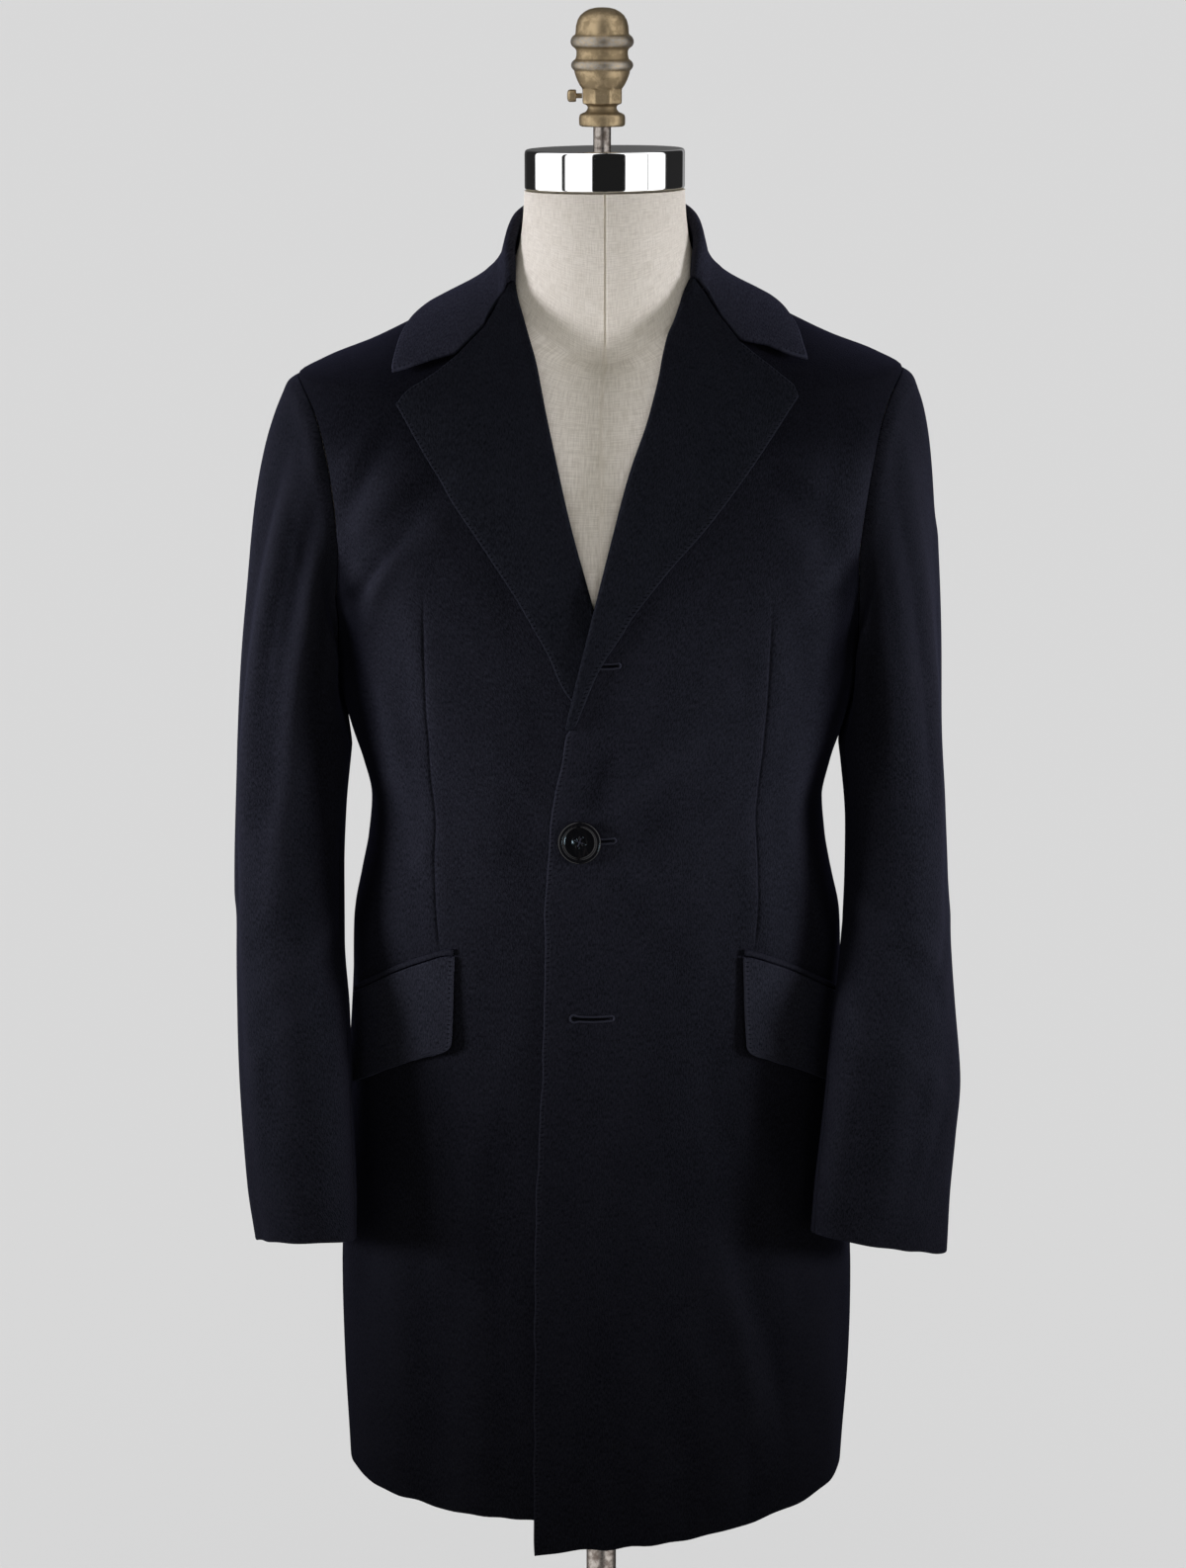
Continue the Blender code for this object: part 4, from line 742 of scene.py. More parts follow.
# ---------------------------------------------------------------- folds that the cloth shows
# Each is a soft ridge (rise > 0) or trough (rise < 0) along a line between two places: from bearing in
# degrees and height, to bearing and height, half-width and rise in metres.
TRUNK_FOLDS = np.array([
    (-68.0, 1.262, -47.0, 1.33, 0.014, 0.004),  # drape below the right armhole
    (-66.0, 1.3, -46.0, 1.372, 0.013, -0.003),
    (-52.0, 1.29, -50.0, 1.18, 0.016, 0.002),
    (64.0, 1.25, 52.0, 1.33, 0.016, 0.0025),  # and its fainter fellow on the left
    (66.0, 1.29, 50.0, 1.37, 0.014, -0.002),
    (34.0, 0.76, 52.0, 0.6, 0.022, 0.003),  # skirt
    (62.0, 0.8, 70.0, 0.54, 0.024, 0.0035),
    (-60.0, 0.78, -66.0, 0.54, 0.026, 0.0035),
    (-36.0, 0.7, -40.0, 0.53, 0.022, 0.0022),
    (112.0, 0.9, 118.0, 0.53, 0.026, 0.005),  # back of the skirt
    (146.0, 0.82, 150.0, 0.53, 0.024, 0.0035),
    (-118.0, 0.88, -114.0, 0.53, 0.026, 0.0045),
    (-150.0, 0.84, -145.0, 0.53, 0.024, 0.0035),
    (128.0, 1.23, 150.0, 1.33, 0.016, 0.0035),  # behind the armholes
    (-130.0, 1.24, -148.0, 1.34, 0.016, 0.0035),
    (140.0, 1.06, 176.0, 1.085, 0.014, 0.0025),  # across the small of the back
    (-138.0, 1.055, -172.0, 1.075, 0.014, 0.0022),
])
# Smaller ones, which only the looks show.
SMALL_FOLDS = np.array([
    (-58.0, 1.15, -62.0, 1.24, 0.012, -0.001),
    (-64.0, 1.12, -56.0, 1.06, 0.012, 0.001),
    (-18.0, 1.1, -34.0, 1.15, 0.01, 0.0007),
    (-19.0, 1.07, -36.0, 1.075, 0.01, -0.0006),
    (20.0, 1.13, 38.0, 1.2, 0.013, 0.0008),
    (62.0, 1.15, 56.0, 1.24, 0.012, -0.0011),  # left of the left dart
    (70.0, 1.2, 60.0, 1.14, 0.012, 0.0009),
    (28.0, 0.7, 44.0, 0.56, 0.014, 0.0009),
    (14.0, 0.8, 22.0, 0.54, 0.018, 0.0008),
    (-28.0, 0.86, -30.0, 0.56, 0.018, -0.0009),
    (-50.0, 0.72, -52.0, 0.54, 0.014, -0.0012),
    (-24.0, 0.64, -25.0, 0.53, 0.012, 0.0008),
    (100.0, 0.82, 103.0, 0.53, 0.016, -0.002),
    (132.0, 0.84, 134.0, 0.53, 0.018, -0.0022),
    (165.0, 0.76, 166.0, 0.53, 0.018, -0.0016),
    (-102.0, 0.8, -100.0, 0.53, 0.016, -0.0018),
    (-133.0, 0.86, -131.0, 0.53, 0.018, -0.0022),
    (-166.0, 0.78, -164.0, 0.53, 0.018, -0.0016),
    (122.0, 1.18, 140.0, 1.26, 0.01, -0.0014),  # back, below the armholes
    (-124.0, 1.19, -140.0, 1.27, 0.01, -0.0014),
    (118.0, 1.12, 128.0, 1.18, 0.012, 0.0012),
    (-118.0, 1.11, -130.0, 1.175, 0.012, 0.0012),
    (150.0, 1.11, 172.0, 1.125, 0.01, -0.0011),
    (-152.0, 1.105, -170.0, 1.118, 0.01, -0.0011),
    (150.0, 1.45, 172.0, 1.47, 0.01, 0.0012),  # below the collar
    (-150.0, 1.448, -170.0, 1.468, 0.01, 0.0012),
])
# Bent folds: half-width, rise, then bearing and height of each point of the line.
BENT_FOLDS = {
    -1: (
        (0.007, 0.0018, [(-68.6, 1.357), (-65.8, 1.378), (-61.8, 1.406)]),  # round the right armhole
        (0.0075, -0.0042, [(-67.6, 1.325), (-65.4, 1.349), (-62.3, 1.371), (-59.0, 1.402)]),
        (0.015, 0.0056, [(-65.8, 1.288), (-62.9, 1.32), (-59.0, 1.348), (-55.5, 1.378)]),
        (0.0066, -0.0068, [(-68.0, 1.262), (-62.7, 1.279), (-59.5, 1.293), (-56.0, 1.309), (-51.5, 1.331)]),
        (0.0076, 0.0044, [(-63.5, 1.243), (-59.0, 1.281), (-56.2, 1.299), (-53.0, 1.318)]),
        (0.012, -0.0022, [(-70.0, 1.245), (-66.0, 1.19), (-66.0, 1.14)]),
        (0.014, -0.0016, [(-30.0, 0.86), (-34.0, 0.78), (-30.0, 0.7)]),  # skirt
        (0.012, 0.0014, [(-52.0, 0.9), (-47.0, 0.8), (-48.0, 0.7)]),
    ),
    1: (
        (0.009, 0.002, [(73.0, 1.39), (69.0, 1.358), (66.9, 1.33), (64.8, 1.29)]),  # by the left armhole
        (0.009, -0.002, [(67.4, 1.406), (63.3, 1.369), (60.5, 1.332), (59.0, 1.29)]),
        (0.012, -0.002, [(70.0, 1.25), (66.0, 1.2), (66.0, 1.15)]),
        (0.015, -0.003, [(-3.0, 1.098), (1.0, 1.13), (6.5, 1.165)]),  # hollow above the button
        (0.01, 0.002, [(7.0, 1.104), (21.0, 1.138), (35.3, 1.16)]),  # drag lines from it
        (0.01, -0.0014, [(9.0, 1.086), (28.5, 1.104), (43.0, 1.115)]),
        (0.01, 0.0014, [(8.0, 1.066), (20.0, 1.05), (33.0, 1.044)]),
        (0.011, -0.0012, [(5.5, 1.055), (16.0, 1.02), (26.0, 0.99)]),
        (0.007, 0.0022, [(36.0, 0.765), (41.5, 0.7), (45.0, 0.64), (46.5, 0.575)]),  # skirt
        (0.0095, -0.0026, [(43.5, 0.75), (49.5, 0.69), (54.0, 0.62), (56.0, 0.56)]),
        (0.013, 0.002, [(40.0, 0.89), (47.0, 0.81), (53.5, 0.73), (60.0, 0.65)]),
        (0.01, -0.0018, [(51.0, 0.88), (56.5, 0.81), (61.0, 0.74)]),
        (0.005, -0.0014, [(45.0, 0.618), (46.0, 0.57), (45.5, 0.534)]),
    ),
}


def off_line(points, start, end):
    """Distance of points to a straight line, and how far along it, as a share, its nearest point lies."""
    run = end - start
    share = np.clip(((points - start) @ run) / (run @ run), 0, 1)
    return np.linalg.norm(points - start - share[..., None] * run, axis=-1), share


def straight_relief(folds, across, up, scale, wraps=False):
    """Sum of bells, each falling off with the distance from its fold's straight line.

    across and the folds' sideways values are angles, which scale turns into lengths. Where it wraps, an
    angle is measured the nearer way round from the middle of the fold.
    """
    across, up = np.broadcast_arrays(np.asarray(across, float), np.asarray(up, float))
    relief = np.zeros(across.shape)
    for from_angle, from_up, to_angle, to_up, half_width, rise in folds:
        near = across
        if wraps:
            middle = math.radians((from_angle + to_angle) / 2)
            near = middle + (across - middle + math.pi) % (2 * math.pi) - math.pi
        start = np.array([math.radians(from_angle) * scale, from_up])
        end = np.array([math.radians(to_angle) * scale, to_up])
        relief += rise * bell(off_line(np.stack([near * scale, up], -1), start, end)[0], half_width)
    return relief


def bent_relief(folds, across, up, scale):
    """Each fold follows a bent line: a bell of the distance to it, that fades in and out along its length.

    across and the lines' first values are angles, which scale turns into lengths.
    """
    here = np.stack([across * scale, up], -1)
    relief = np.zeros(here.shape[:-1])
    for half_width, rise, line in folds:
        line = np.array(line) * (math.pi / 180 * scale, 1.0)
        steps = np.linalg.norm(np.diff(line, axis=0), axis=1)
        nearest, place = np.full(relief.shape, np.inf), np.zeros(relief.shape)
        for k, step in enumerate(steps):
            away, share = off_line(here, line[k], line[k + 1])
            place = np.where(away < nearest, (steps[:k].sum() + share * step) / steps.sum(), place)
            nearest = np.minimum(away, nearest)
        fade = np.sin(math.pi * np.clip(place, 0.04, 0.96)) ** 0.6
        relief += rise * fade * bell(nearest, half_width)
    return relief


# ---------------------------------------------------------------- fronts and back
# Ring height, then how far the left and the right front stand off where they lap; a side picks its column.
LAP = np.array([
    (0.5, 0.0017, -0.0017), (1.08, 0.0017, -0.0017), (1.16, 0.0031, -0.0046), (1.275, 0.0031, -0.0046),
    (1.345, 0.0, 0.0), (1.6, 0.0, 0.0),
])
LAP_ENDS = {1: (0.035, 0.095), -1: (-0.065, -0.120)}  # across the front, where the lap fades out
HEM_DROP_TOP = 1.05  # height where the left front's drop has faded out
# Bearing in degrees, and how much lower the left front's hem hangs there.
LEFT_HEM_DROP = np.array([
    (-24.0, 0.032), (-19.0, 0.0295), (-8.0, 0.0235), (10.0, 0.0205), (30.0, 0.0175), (50.0, 0.0125),
    (70.0, 0.007), (90.0, 0.002), (105.0, 0.0),
])
# The line of each front's dart, from its foot up: ring height and bearing in degrees from the front.
DARTS = by_side([
    (0.994, 47.8), (1.034, 50.6), (1.075, 51.6), (1.133, 51.0), (1.191, 49.4), (1.272, 48.1),
], [
    (0.992, 47.4), (1.03, 50.4), (1.072, 52.1), (1.116, 52.2), (1.198, 49.8), (1.284, 48.3),
])
DART_RADIUS = 0.165  # what turns a bearing beside a dart into a length
# Ring height, and the bearing in degrees beyond which the arm shades the trunk.
ARM_SIDE = np.array([
    (0.9, 72.0), (1.12, 69.0), (1.19, 65.0), (1.27, 61.0), (1.29, 66.0), (1.32, 80.0),
])


def trunk_lift(side, bearing, height):
    """Distance of a trunk piece's outer face from the skin: its folds, and the lap of the fronts."""
    fade_from, fade_to = LAP_ENDS[side]
    across = np.where(np.cos(bearing) > 0, skin(bearing, height)[..., 0], side)
    lap = np.interp(height, LAP[:, 0], LAP[:, side])
    lap = lap * (1 - smooth_step(side * across, side * fade_from, side * fade_to))
    return straight_relief(TRUNK_FOLDS, bearing, height, MEAN_RADIUS) + lap


def trunk(side, bearing, height, lift=0.0):
    """Place this far outside a trunk piece; the left front hangs lower towards its edge."""
    placed = off_skin(bearing, height, trunk_lift(side, bearing, height) + lift)
    if side > 0:
        drop = 1 - smooth_step(height, HEM, HEM_DROP_TOP)
        placed[..., 2] -= read(LEFT_HEM_DROP, np.degrees(bearing)) * drop
    return placed


def armhole(side, turn):
    """Bearing and height round an armhole; turn is 0 at the shoulder point and grows through the front."""
    spread_at = np.where(np.sin(turn) > 0, ARMHOLE_FRONT, ARMHOLE_BACK)
    spread_at = np.radians(spread_at) * np.abs(np.sin(turn)) ** (2 / ARMHOLE_SQUARENESS)
    middle, half = (SHOULDER + UNDERARM) / 2, (SHOULDER - UNDERARM) / 2
    return side * (math.pi / 2 - np.sign(np.sin(turn)) * spread_at), middle + half * np.cos(turn)


def fold_radius(z):
    """Radius of the roll: tight where the fronts cross, fuller above."""
    return TIGHT_FOLD + (FOLD_RADIUS - TIGHT_FOLD) * smooth_step(z, *FOLD_OPENS)


def front_edge(side):
    """The front edge and the roll line above it, as a function from height to bearing."""
    edge, roll = EDGE[side], ROLL[side]
    z = np.linspace(edge[0, 0], roll[-1, 0], 240)
    tucked = (fold_radius(z) + 0.0005) * smooth_step(z, BREAK - 0.003, BREAK + 0.003)
    bearing, height = place_on_front(z, np.where(z < BREAK, read(edge, z), read(roll, z)) + side * tucked)
    return lambda at: np.interp(at, height, bearing)


def dart_line(side, height):
    """Bearing of the dart at this height, in radians from the front towards its own side."""
    return np.radians(read(DARTS[side], height))


def dart_relief(side, bearing, height):
    """A fine groove along the dart with the cloth swelling softly on both sides of it."""
    low, top = DARTS[side][0, 0], DARTS[side][-1, 0]
    away = np.abs(side * bearing - dart_line(side, height)) * DART_RADIUS
    here = smooth_step(height, low - 0.004, low + 0.012) * (1 - smooth_step(height, top - 0.045, top + 0.004))
    return here * (0.0007 * bell(away - 0.007, 0.006) - 0.00105 * bell(away, 0.0011))


def small_relief(side, bearing, height, is_front):
    """What the looks add to a trunk piece: small folds, slow unevenness and the dart."""
    relief = straight_relief(SMALL_FOLDS, bearing, height, MEAN_RADIUS)
    calm = 1 - 0.75 * smooth_step(height, 1.16, 1.30) * (np.cos(bearing) > 0)
    seed = SEEDS["front" if is_front else "back"]
    relief = relief + calm * slow_waves(bearing * MEAN_RADIUS, height, seed, 0.0006)
    if is_front:
        relief = relief + dart_relief(side, bearing, height)
        relief = relief + bent_relief(BENT_FOLDS[side], bearing, height, MEAN_RADIUS)
    return relief


def trunk_grid(side, is_front):
    """Bearing, height and distance from its inner edge of each point of a front or a back half.

    Rows run from the hem to the neck seam, with equal turns round the armhole between; columns lie at set
    distances from the inner edge, the outer one and a front's dart.
    """
    turns = np.linspace(math.pi, 0, HOLE_ROWS)
    top = NECK_SEAM - SEAM
    low = np.concatenate([HEM + NEAR, np.arange(HEM + 0.011, UNDERARM - 0.002, ROW_STEP)])
    neck = np.concatenate([np.arange(SHOULDER + 0.0022, top - 0.008, NECK_STEP), top - NEAR[::-1]])
    heights = np.concatenate([low, armhole(side, turns)[1], neck])
    hole_bearing = side * armhole(side, turns if is_front else 2 * math.pi - turns)[0]
    clear = HALF_SEAM / np.abs(skin(math.pi / 2, heights)[:, 0])
    outer = math.pi / 2 + np.where(is_front, -clear, clear)
    inside = slice(len(low), len(low) + len(turns))
    outer[inside] = (np.minimum if is_front else np.maximum)(hole_bearing, outer[inside])
    inner = side * front_edge(side)(heights) if is_front else math.pi - clear
    fine = inner[:, None] + (outer - inner)[:, None] * np.linspace(0, 1, 241)
    arc = lengths_along(skin(side * fine, heights[:, None]), 1)
    width = arc[:, -1]
    squeeze = np.minimum(1, width / NARROW)
    stops, steps = [squeeze * near for near in NEAR], [1] * (len(NEAR) - 1)
    if is_front:
        dart_top = DARTS[side][-1, 0]
        at_dart = np.array([np.interp(b, f, a) for b, f, a in zip(dart_line(side, heights), fine, arc)])
        at_dart = at_dart + (0.5 * width - at_dart) * smooth_step(heights, dart_top, dart_top + 0.11)
        offsets = np.concatenate([-DART_NEAR[::-1], [0.0], DART_NEAR])
        stops += [at_dart + squeeze * offset for offset in offsets]
        steps += [FRONT_COLUMNS[0]] + [1] * (len(offsets) - 1) + [FRONT_COLUMNS[1]]
    else:
        steps += [BACK_COLUMNS]
    stops += [width - squeeze * near for near in NEAR[::-1]]
    steps += [1] * (len(NEAR) - 1)
    distance = spread(stops, steps)
    bearing = side * np.array([np.interp(d, a, f) for d, a, f in zip(distance, arc, fine)])
    return bearing, np.broadcast_to(heights[:, None], bearing.shape), distance


def trunk_marks(bearing, height, relief):
    """The mark lift, from the folds, which paints ridges light and troughs dark, and the mark painted_shade.

    Shade is painted beside the arms, over the shoulders, a little on the chest, and on the skirt, most
    towards its sides.
    """
    turned = np.abs(np.degrees(bearing))
    aside = turned - np.interp(height, *ARM_SIDE.T)
    # Painted shade beside the arms, over the shoulders, on the chest and on the skirt.
    arm = 0.85 * smooth_step(aside, -3, 5) * (1 - smooth_step(aside, 40, 60))
    arm = arm * smooth_step(height, 0.90, 1.02) * (1 - smooth_step(height, 1.31, 1.36))
    chest = 0.30 * smooth_step(height, 1.20, 1.36) * (1 - smooth_step(turned, 52, 62))
    shoulder = 0.58 * smooth_step(height, 1.345, 1.405) * (np.cos(bearing) > 0)
    low = 1 - smooth_step(height, 0.80, 1.08)
    skirt = low * (0.18 + 0.22 * smooth_step(turned, 40, 75)) * (1 - 0.8 * smooth_step(turned, 90, 120))
    folds = straight_relief(TRUNK_FOLDS, bearing, height, MEAN_RADIUS)
    return {"lift": np.clip((relief + folds) / 0.0040, -1, 1),
            "painted_shade": np.maximum.reduce([arm, chest, shoulder, skirt])}


def add_trunk_piece(node, side, is_front):
    """A front or a back half: its grid on the skin, moved out by its relief, with uneven hem and edge."""
    bearing, height, distance = trunk_grid(side, is_front)
    way = side if is_front else -side
    base = trunk(side, bearing, height)
    relief = small_relief(side, bearing, height, is_front)
    face = base + grid_normals(base) * way * relief[..., None]
    wobble = slow_waves(bearing * MEAN_RADIUS, 0 * height, SEEDS["hem"] + side, 0.0009, 0.035)
    face[..., 2] += wobble * (1 - smooth_step(height, HEM, HEM + 0.03))
    if is_front:
        edge_wave = slow_waves(height, 0 * height, SEEDS["front_edge"] + side, 0.0005, 0.045)
        below = 1 - smooth_step(height, 1.12, BREAK)
        face[..., 0] += edge_wave * (1 - smooth_step(distance, 0, 0.02)) * below
    ends = (FREE if is_front else SEWN, SEWN, FREE, SEWN)
    add_cloth(node, face, way, CLOTH, ends, (0,) if is_front else (), LINED_FROM["trunk"],
              **trunk_marks(bearing, height, relief))


# ---------------------------------------------------------------- sleeves
HEAD_LEAVE = (0.020, 0.115)  # pull of the head's curve at the armhole: under the arm, at the shoulder
HEAD_ARRIVE = (0.050, 0.340)  # and at the first ring
HEAD_DIP = math.radians(26)
HEAD_PUFF = (125.0, 1.232, 0.0100)  # where the sleeve swells over its seam: turn, height and how far
PUFF_HALF_WIDTH, PUFF_HALF_HEIGHT = 0.024, 0.048
UNDER_ARM = math.radians(194)  # turn of the sleeve's line that lies against the trunk
# Ridges and troughs along the sleeves: turn in degrees and height at each end, half-width, rise.
SLEEVE_FOLDS = by_side([
    (40.0, 1.39, 52.0, 1.0, 0.012, 0.0022), (10.0, 1.3, -20.0, 1.0, 0.014, 0.002),
    (120.0, 1.02, 60.0, 0.98, 0.01, 0.0022), (130.0, 0.95, 75.0, 0.9, 0.01, 0.002),
    (250.0, 1.1, 300.0, 1.0, 0.014, 0.0028),
], [
    (52.0, 1.4, 50.0, 0.98, 0.01, 0.003), (84.0, 1.36, 80.0, 1.1, 0.01, -0.002),
    (20.0, 1.38, 24.0, 1.02, 0.012, 0.0018), (130.0, 1.0, 70.0, 0.96, 0.01, 0.002),
    (250.0, 1.12, 300.0, 1.02, 0.014, 0.0028),
])
SMALL_SLEEVE_FOLDS = by_side([
    (70.0, 1.36, 84.0, 1.12, 0.01, -0.0012), (96.0, 1.32, 104.0, 1.1, 0.01, 0.001),
    (100.0, 1.0, 40.0, 0.945, 0.007, -0.0011), (110.0, 0.93, 60.0, 0.87, 0.007, -0.001),
    (60.0, 0.9, 20.0, 0.865, 0.008, 0.001), (20.0, 0.86, 40.0, 0.8, 0.01, -0.0008),
    (280.0, 1.06, 330.0, 0.98, 0.008, -0.0014), (260.0, 0.96, 320.0, 0.92, 0.009, 0.0014),
], [
    (66.0, 1.38, 66.0, 1.08, 0.008, -0.0014), (36.0, 1.39, 36.0, 1.02, 0.009, -0.0012),
    (100.0, 1.02, 50.0, 0.975, 0.007, -0.001), (104.0, 0.95, 56.0, 0.9, 0.008, 0.001),
    (70.0, 0.9, 60.0, 0.79, 0.01, -0.0008), (96.0, 1.34, 98.0, 1.12, 0.009, 0.001),
    (280.0, 1.06, 330.0, 0.98, 0.008, -0.0014), (260.0, 0.96, 320.0, 0.92, 0.009, 0.0014),
])
# Bent folds of the sleeve heads: half-width, rise, then turn in degrees and height of each point.
BENT_SLEEVE_FOLDS = {
    -1: (
        (0.0064, 0.0016, [(22.0, 1.425), (44.0, 1.37), (56.0, 1.29), (57.0, 1.17), (54.0, 1.08)]),
        (0.006, -0.0024, [(38.0, 1.41), (57.0, 1.345), (66.0, 1.27), (67.0, 1.13)]),
        (0.0066, 0.0036, [(45.0, 1.402), (60.0, 1.365), (70.0, 1.325)]),
        (0.0068, -0.0048, [(60.0, 1.385), (70.0, 1.345), (78.0, 1.3), (77.0, 1.23)]),
        (0.0076, 0.0046, [(69.0, 1.362), (82.0, 1.31), (90.0, 1.25), (90.0, 1.12), (84.0, 1.02)]),
        (0.009, -0.0022, [(100.0, 1.32), (108.0, 1.24), (108.0, 1.12)]),
    ),
    1: (
        (0.007, 0.0022, [(60.0, 1.385), (77.0, 1.33), (80.0, 1.24), (78.0, 1.1)]),
        (0.005, -0.0018, [(46.0, 1.4), (63.0, 1.33), (66.0, 1.24), (64.0, 1.1)]),
        (0.005, 0.0016, [(36.0, 1.4), (50.0, 1.33), (53.0, 1.23), (50.0, 1.08)]),
        (0.009, -0.0026, [(98.0, 1.32), (106.0, 1.24), (106.0, 1.13)]),
        (0.006, -0.0016, [(110.0, 1.03), (85.0, 0.99), (52.0, 0.962)]),
        (0.006, 0.0016, [(112.0, 1.0), (88.0, 0.965), (56.0, 0.938)]),
    ),
}


def sleeve_ring(side, turn, z):
    """A superellipse across the arm, turned about Z; turn is 0 on its outer side and 90 in front."""
    table = SLEEVE[side]
    value = {name: monotone(-table[:, 0], table[:, k], -z) for k, name in enumerate(SLEEVE_COLUMNS)}
    angle = np.radians(value["turn"])
    outward, back = np.cos(turn), -np.sin(turn)
    long_part = np.abs(outward * np.cos(angle) + back * np.sin(angle)) / value["half_long"]
    short_part = np.abs(back * np.cos(angle) - outward * np.sin(angle)) / value["half_short"]
    reach = (long_part**SLEEVE_SQUARENESS + short_part**SLEEVE_SQUARENESS) ** (-1 / SLEEVE_SQUARENESS)
    x = value["across"] + side * reach * outward
    y = value["y"] + reach * back
    return np.stack([x, y, z + reach * (value["dz_dy"] * back + value["dz_dx"] * outward)], -1)


def sleeve_base(side, turn, place):
    """Middle surface of the sleeve: place 0 to 1 is the head, beyond that each whole step is one ring.

    The head is a cubic from the armhole to the first ring; how strongly it pulls at its ends grows from
    under the arm to the shoulder.
    """
    table = SLEEVE[side]
    hub = trunk(side, *armhole(side, np.linspace(0, 2 * math.pi, 73)[:-1])).mean(axis=0)
    start = trunk(side, *armhole(side, turn))
    start = start + square_to(hub - start, skin_normal(*armhole(side, turn))) * 0.0001
    top = (1 + np.cos(turn)) / 2
    dip = HEAD_DIP * top
    leave, arrive = (low + (high - low) * top for low, high in (HEAD_LEAVE, HEAD_ARRIVE))
    leaving = unit(np.stack([side * np.cos(dip), -0.25 * np.sin(turn), -np.sin(dip)], -1)) * leave[..., None]
    first = sleeve_ring(side, turn, np.full(turn.shape, table[0, 0]))
    arriving = unit(np.stack([side * 0.07 * top, 0 * top, -np.ones(turn.shape)], -1)) * arrive[..., None]
    head = hermite(np.clip(place, 0, 1)[..., None], start, leaving, first, arriving)
    z = np.interp(place - 1, np.arange(len(table)), table[:, 0])
    return np.where((place < 1)[..., None], head, sleeve_ring(side, turn, z))


def add_sleeve_piece(node, side, from_turn, to_turn, columns):
    """The top or under sleeve: its base surface moved out by its ridges, with a softly roped head."""
    clear = HALF_SEAM / SLEEVE_RADIUS
    start, end = math.radians(from_turn) + clear, math.radians(to_turn) - clear
    turn = closing_up(start, end, NEAR / SLEEVE_RADIUS, columns)
    rings = len(SLEEVE[side])
    place = np.concatenate([
        NEAR / HEAD_LENGTH, np.linspace(0.044, 1.0, HEAD_ROWS), np.linspace(1.0, rings - 0.16, ARM_ROWS)[1:],
        rings - NEAR[::-1] / RING_LENGTH,
    ])
    turn, place = np.meshgrid(turn, place)
    base = sleeve_base(side, turn, place)
    height = base[..., 2]
    folds = straight_relief(SLEEVE_FOLDS[side], turn, height, SLEEVE_RADIUS, wraps=True)
    folds = folds + straight_relief(SMALL_SLEEVE_FOLDS[side], turn, height, SLEEVE_RADIUS, wraps=True)
    folds = folds + bent_relief(BENT_SLEEVE_FOLDS[side], turn, height, SLEEVE_RADIUS)
    folds = folds * np.clip(place * 3, 0, 1)
    from_head = lengths_along(base, 0)
    roping = 0.0013 * bell(from_head - 0.010, 0.007) * smooth_step(np.cos(turn), -0.2, 0.7)
    waves = slow_waves(turn * SLEEVE_RADIUS, height, SEEDS["sleeve"] + side, 0.0006, 0.05, 3.2)
    relief = folds + roping + waves * smooth_step(from_head, 0, 0.05)
    face = base + grid_normals(base) * side * relief[..., None]
    puff_turn, puff_z, puff = HEAD_PUFF
    swell = bell((turn - math.radians(puff_turn)) * SLEEVE_RADIUS, PUFF_HALF_WIDTH)
    swell = swell * bell(height - puff_z, PUFF_HALF_HEIGHT)
    swell = puff * swell * smooth_step(from_head, 0.003, 0.030)
    face = face + swell[..., None] * np.array([-side * 0.75, -0.85, 0.0])
    cuff = slow_waves(turn * SLEEVE_RADIUS, 0 * turn, SEEDS["cuff"] + side, 0.00035, 0.05)
    face[..., 2] += cuff * smooth_step(place, rings - 0.4, rings)
    # Painted shade on the side of the sleeve that lies against the trunk.
    painted_shade = 0.64 * bell((turn - UNDER_ARM) * SLEEVE_RADIUS, 0.046) * smooth_step(from_head, 0.01, 0.06)
    # Painted light on the sleeve's ridges and painted shade in its troughs.
    lift = np.clip(relief / 0.0035, -1, 1)
    add_cloth(node, face[::-1], -side, CLOTH, (SEWN, SEWN, FREE, SEWN), (), LINED_FROM["sleeve"],
              lift=lift[::-1], painted_shade=painted_shade[::-1])


# ---------------------------------------------------------------- lapels and collar
def coons(roll, edge, start, end, along_roll, across_roll):
    """Surface patch inside four border lines, each given as a polyline and read by its length."""
    u, w = along_roll, across_roll
    roll_at, edge_at, start_at, end_at = along(roll, u), along(edge, u), along(start, w), along(end, w)
    u, w = u[..., None], w[..., None]
    corners = (
        (1 - u) * (1 - w) * start[0] + (1 - u) * w * start[-1] + u * (1 - w) * end[0] + u * w * end[-1]
    )
    return (1 - w) * roll_at + w * edge_at + (1 - u) * start_at + u * end_at - corners


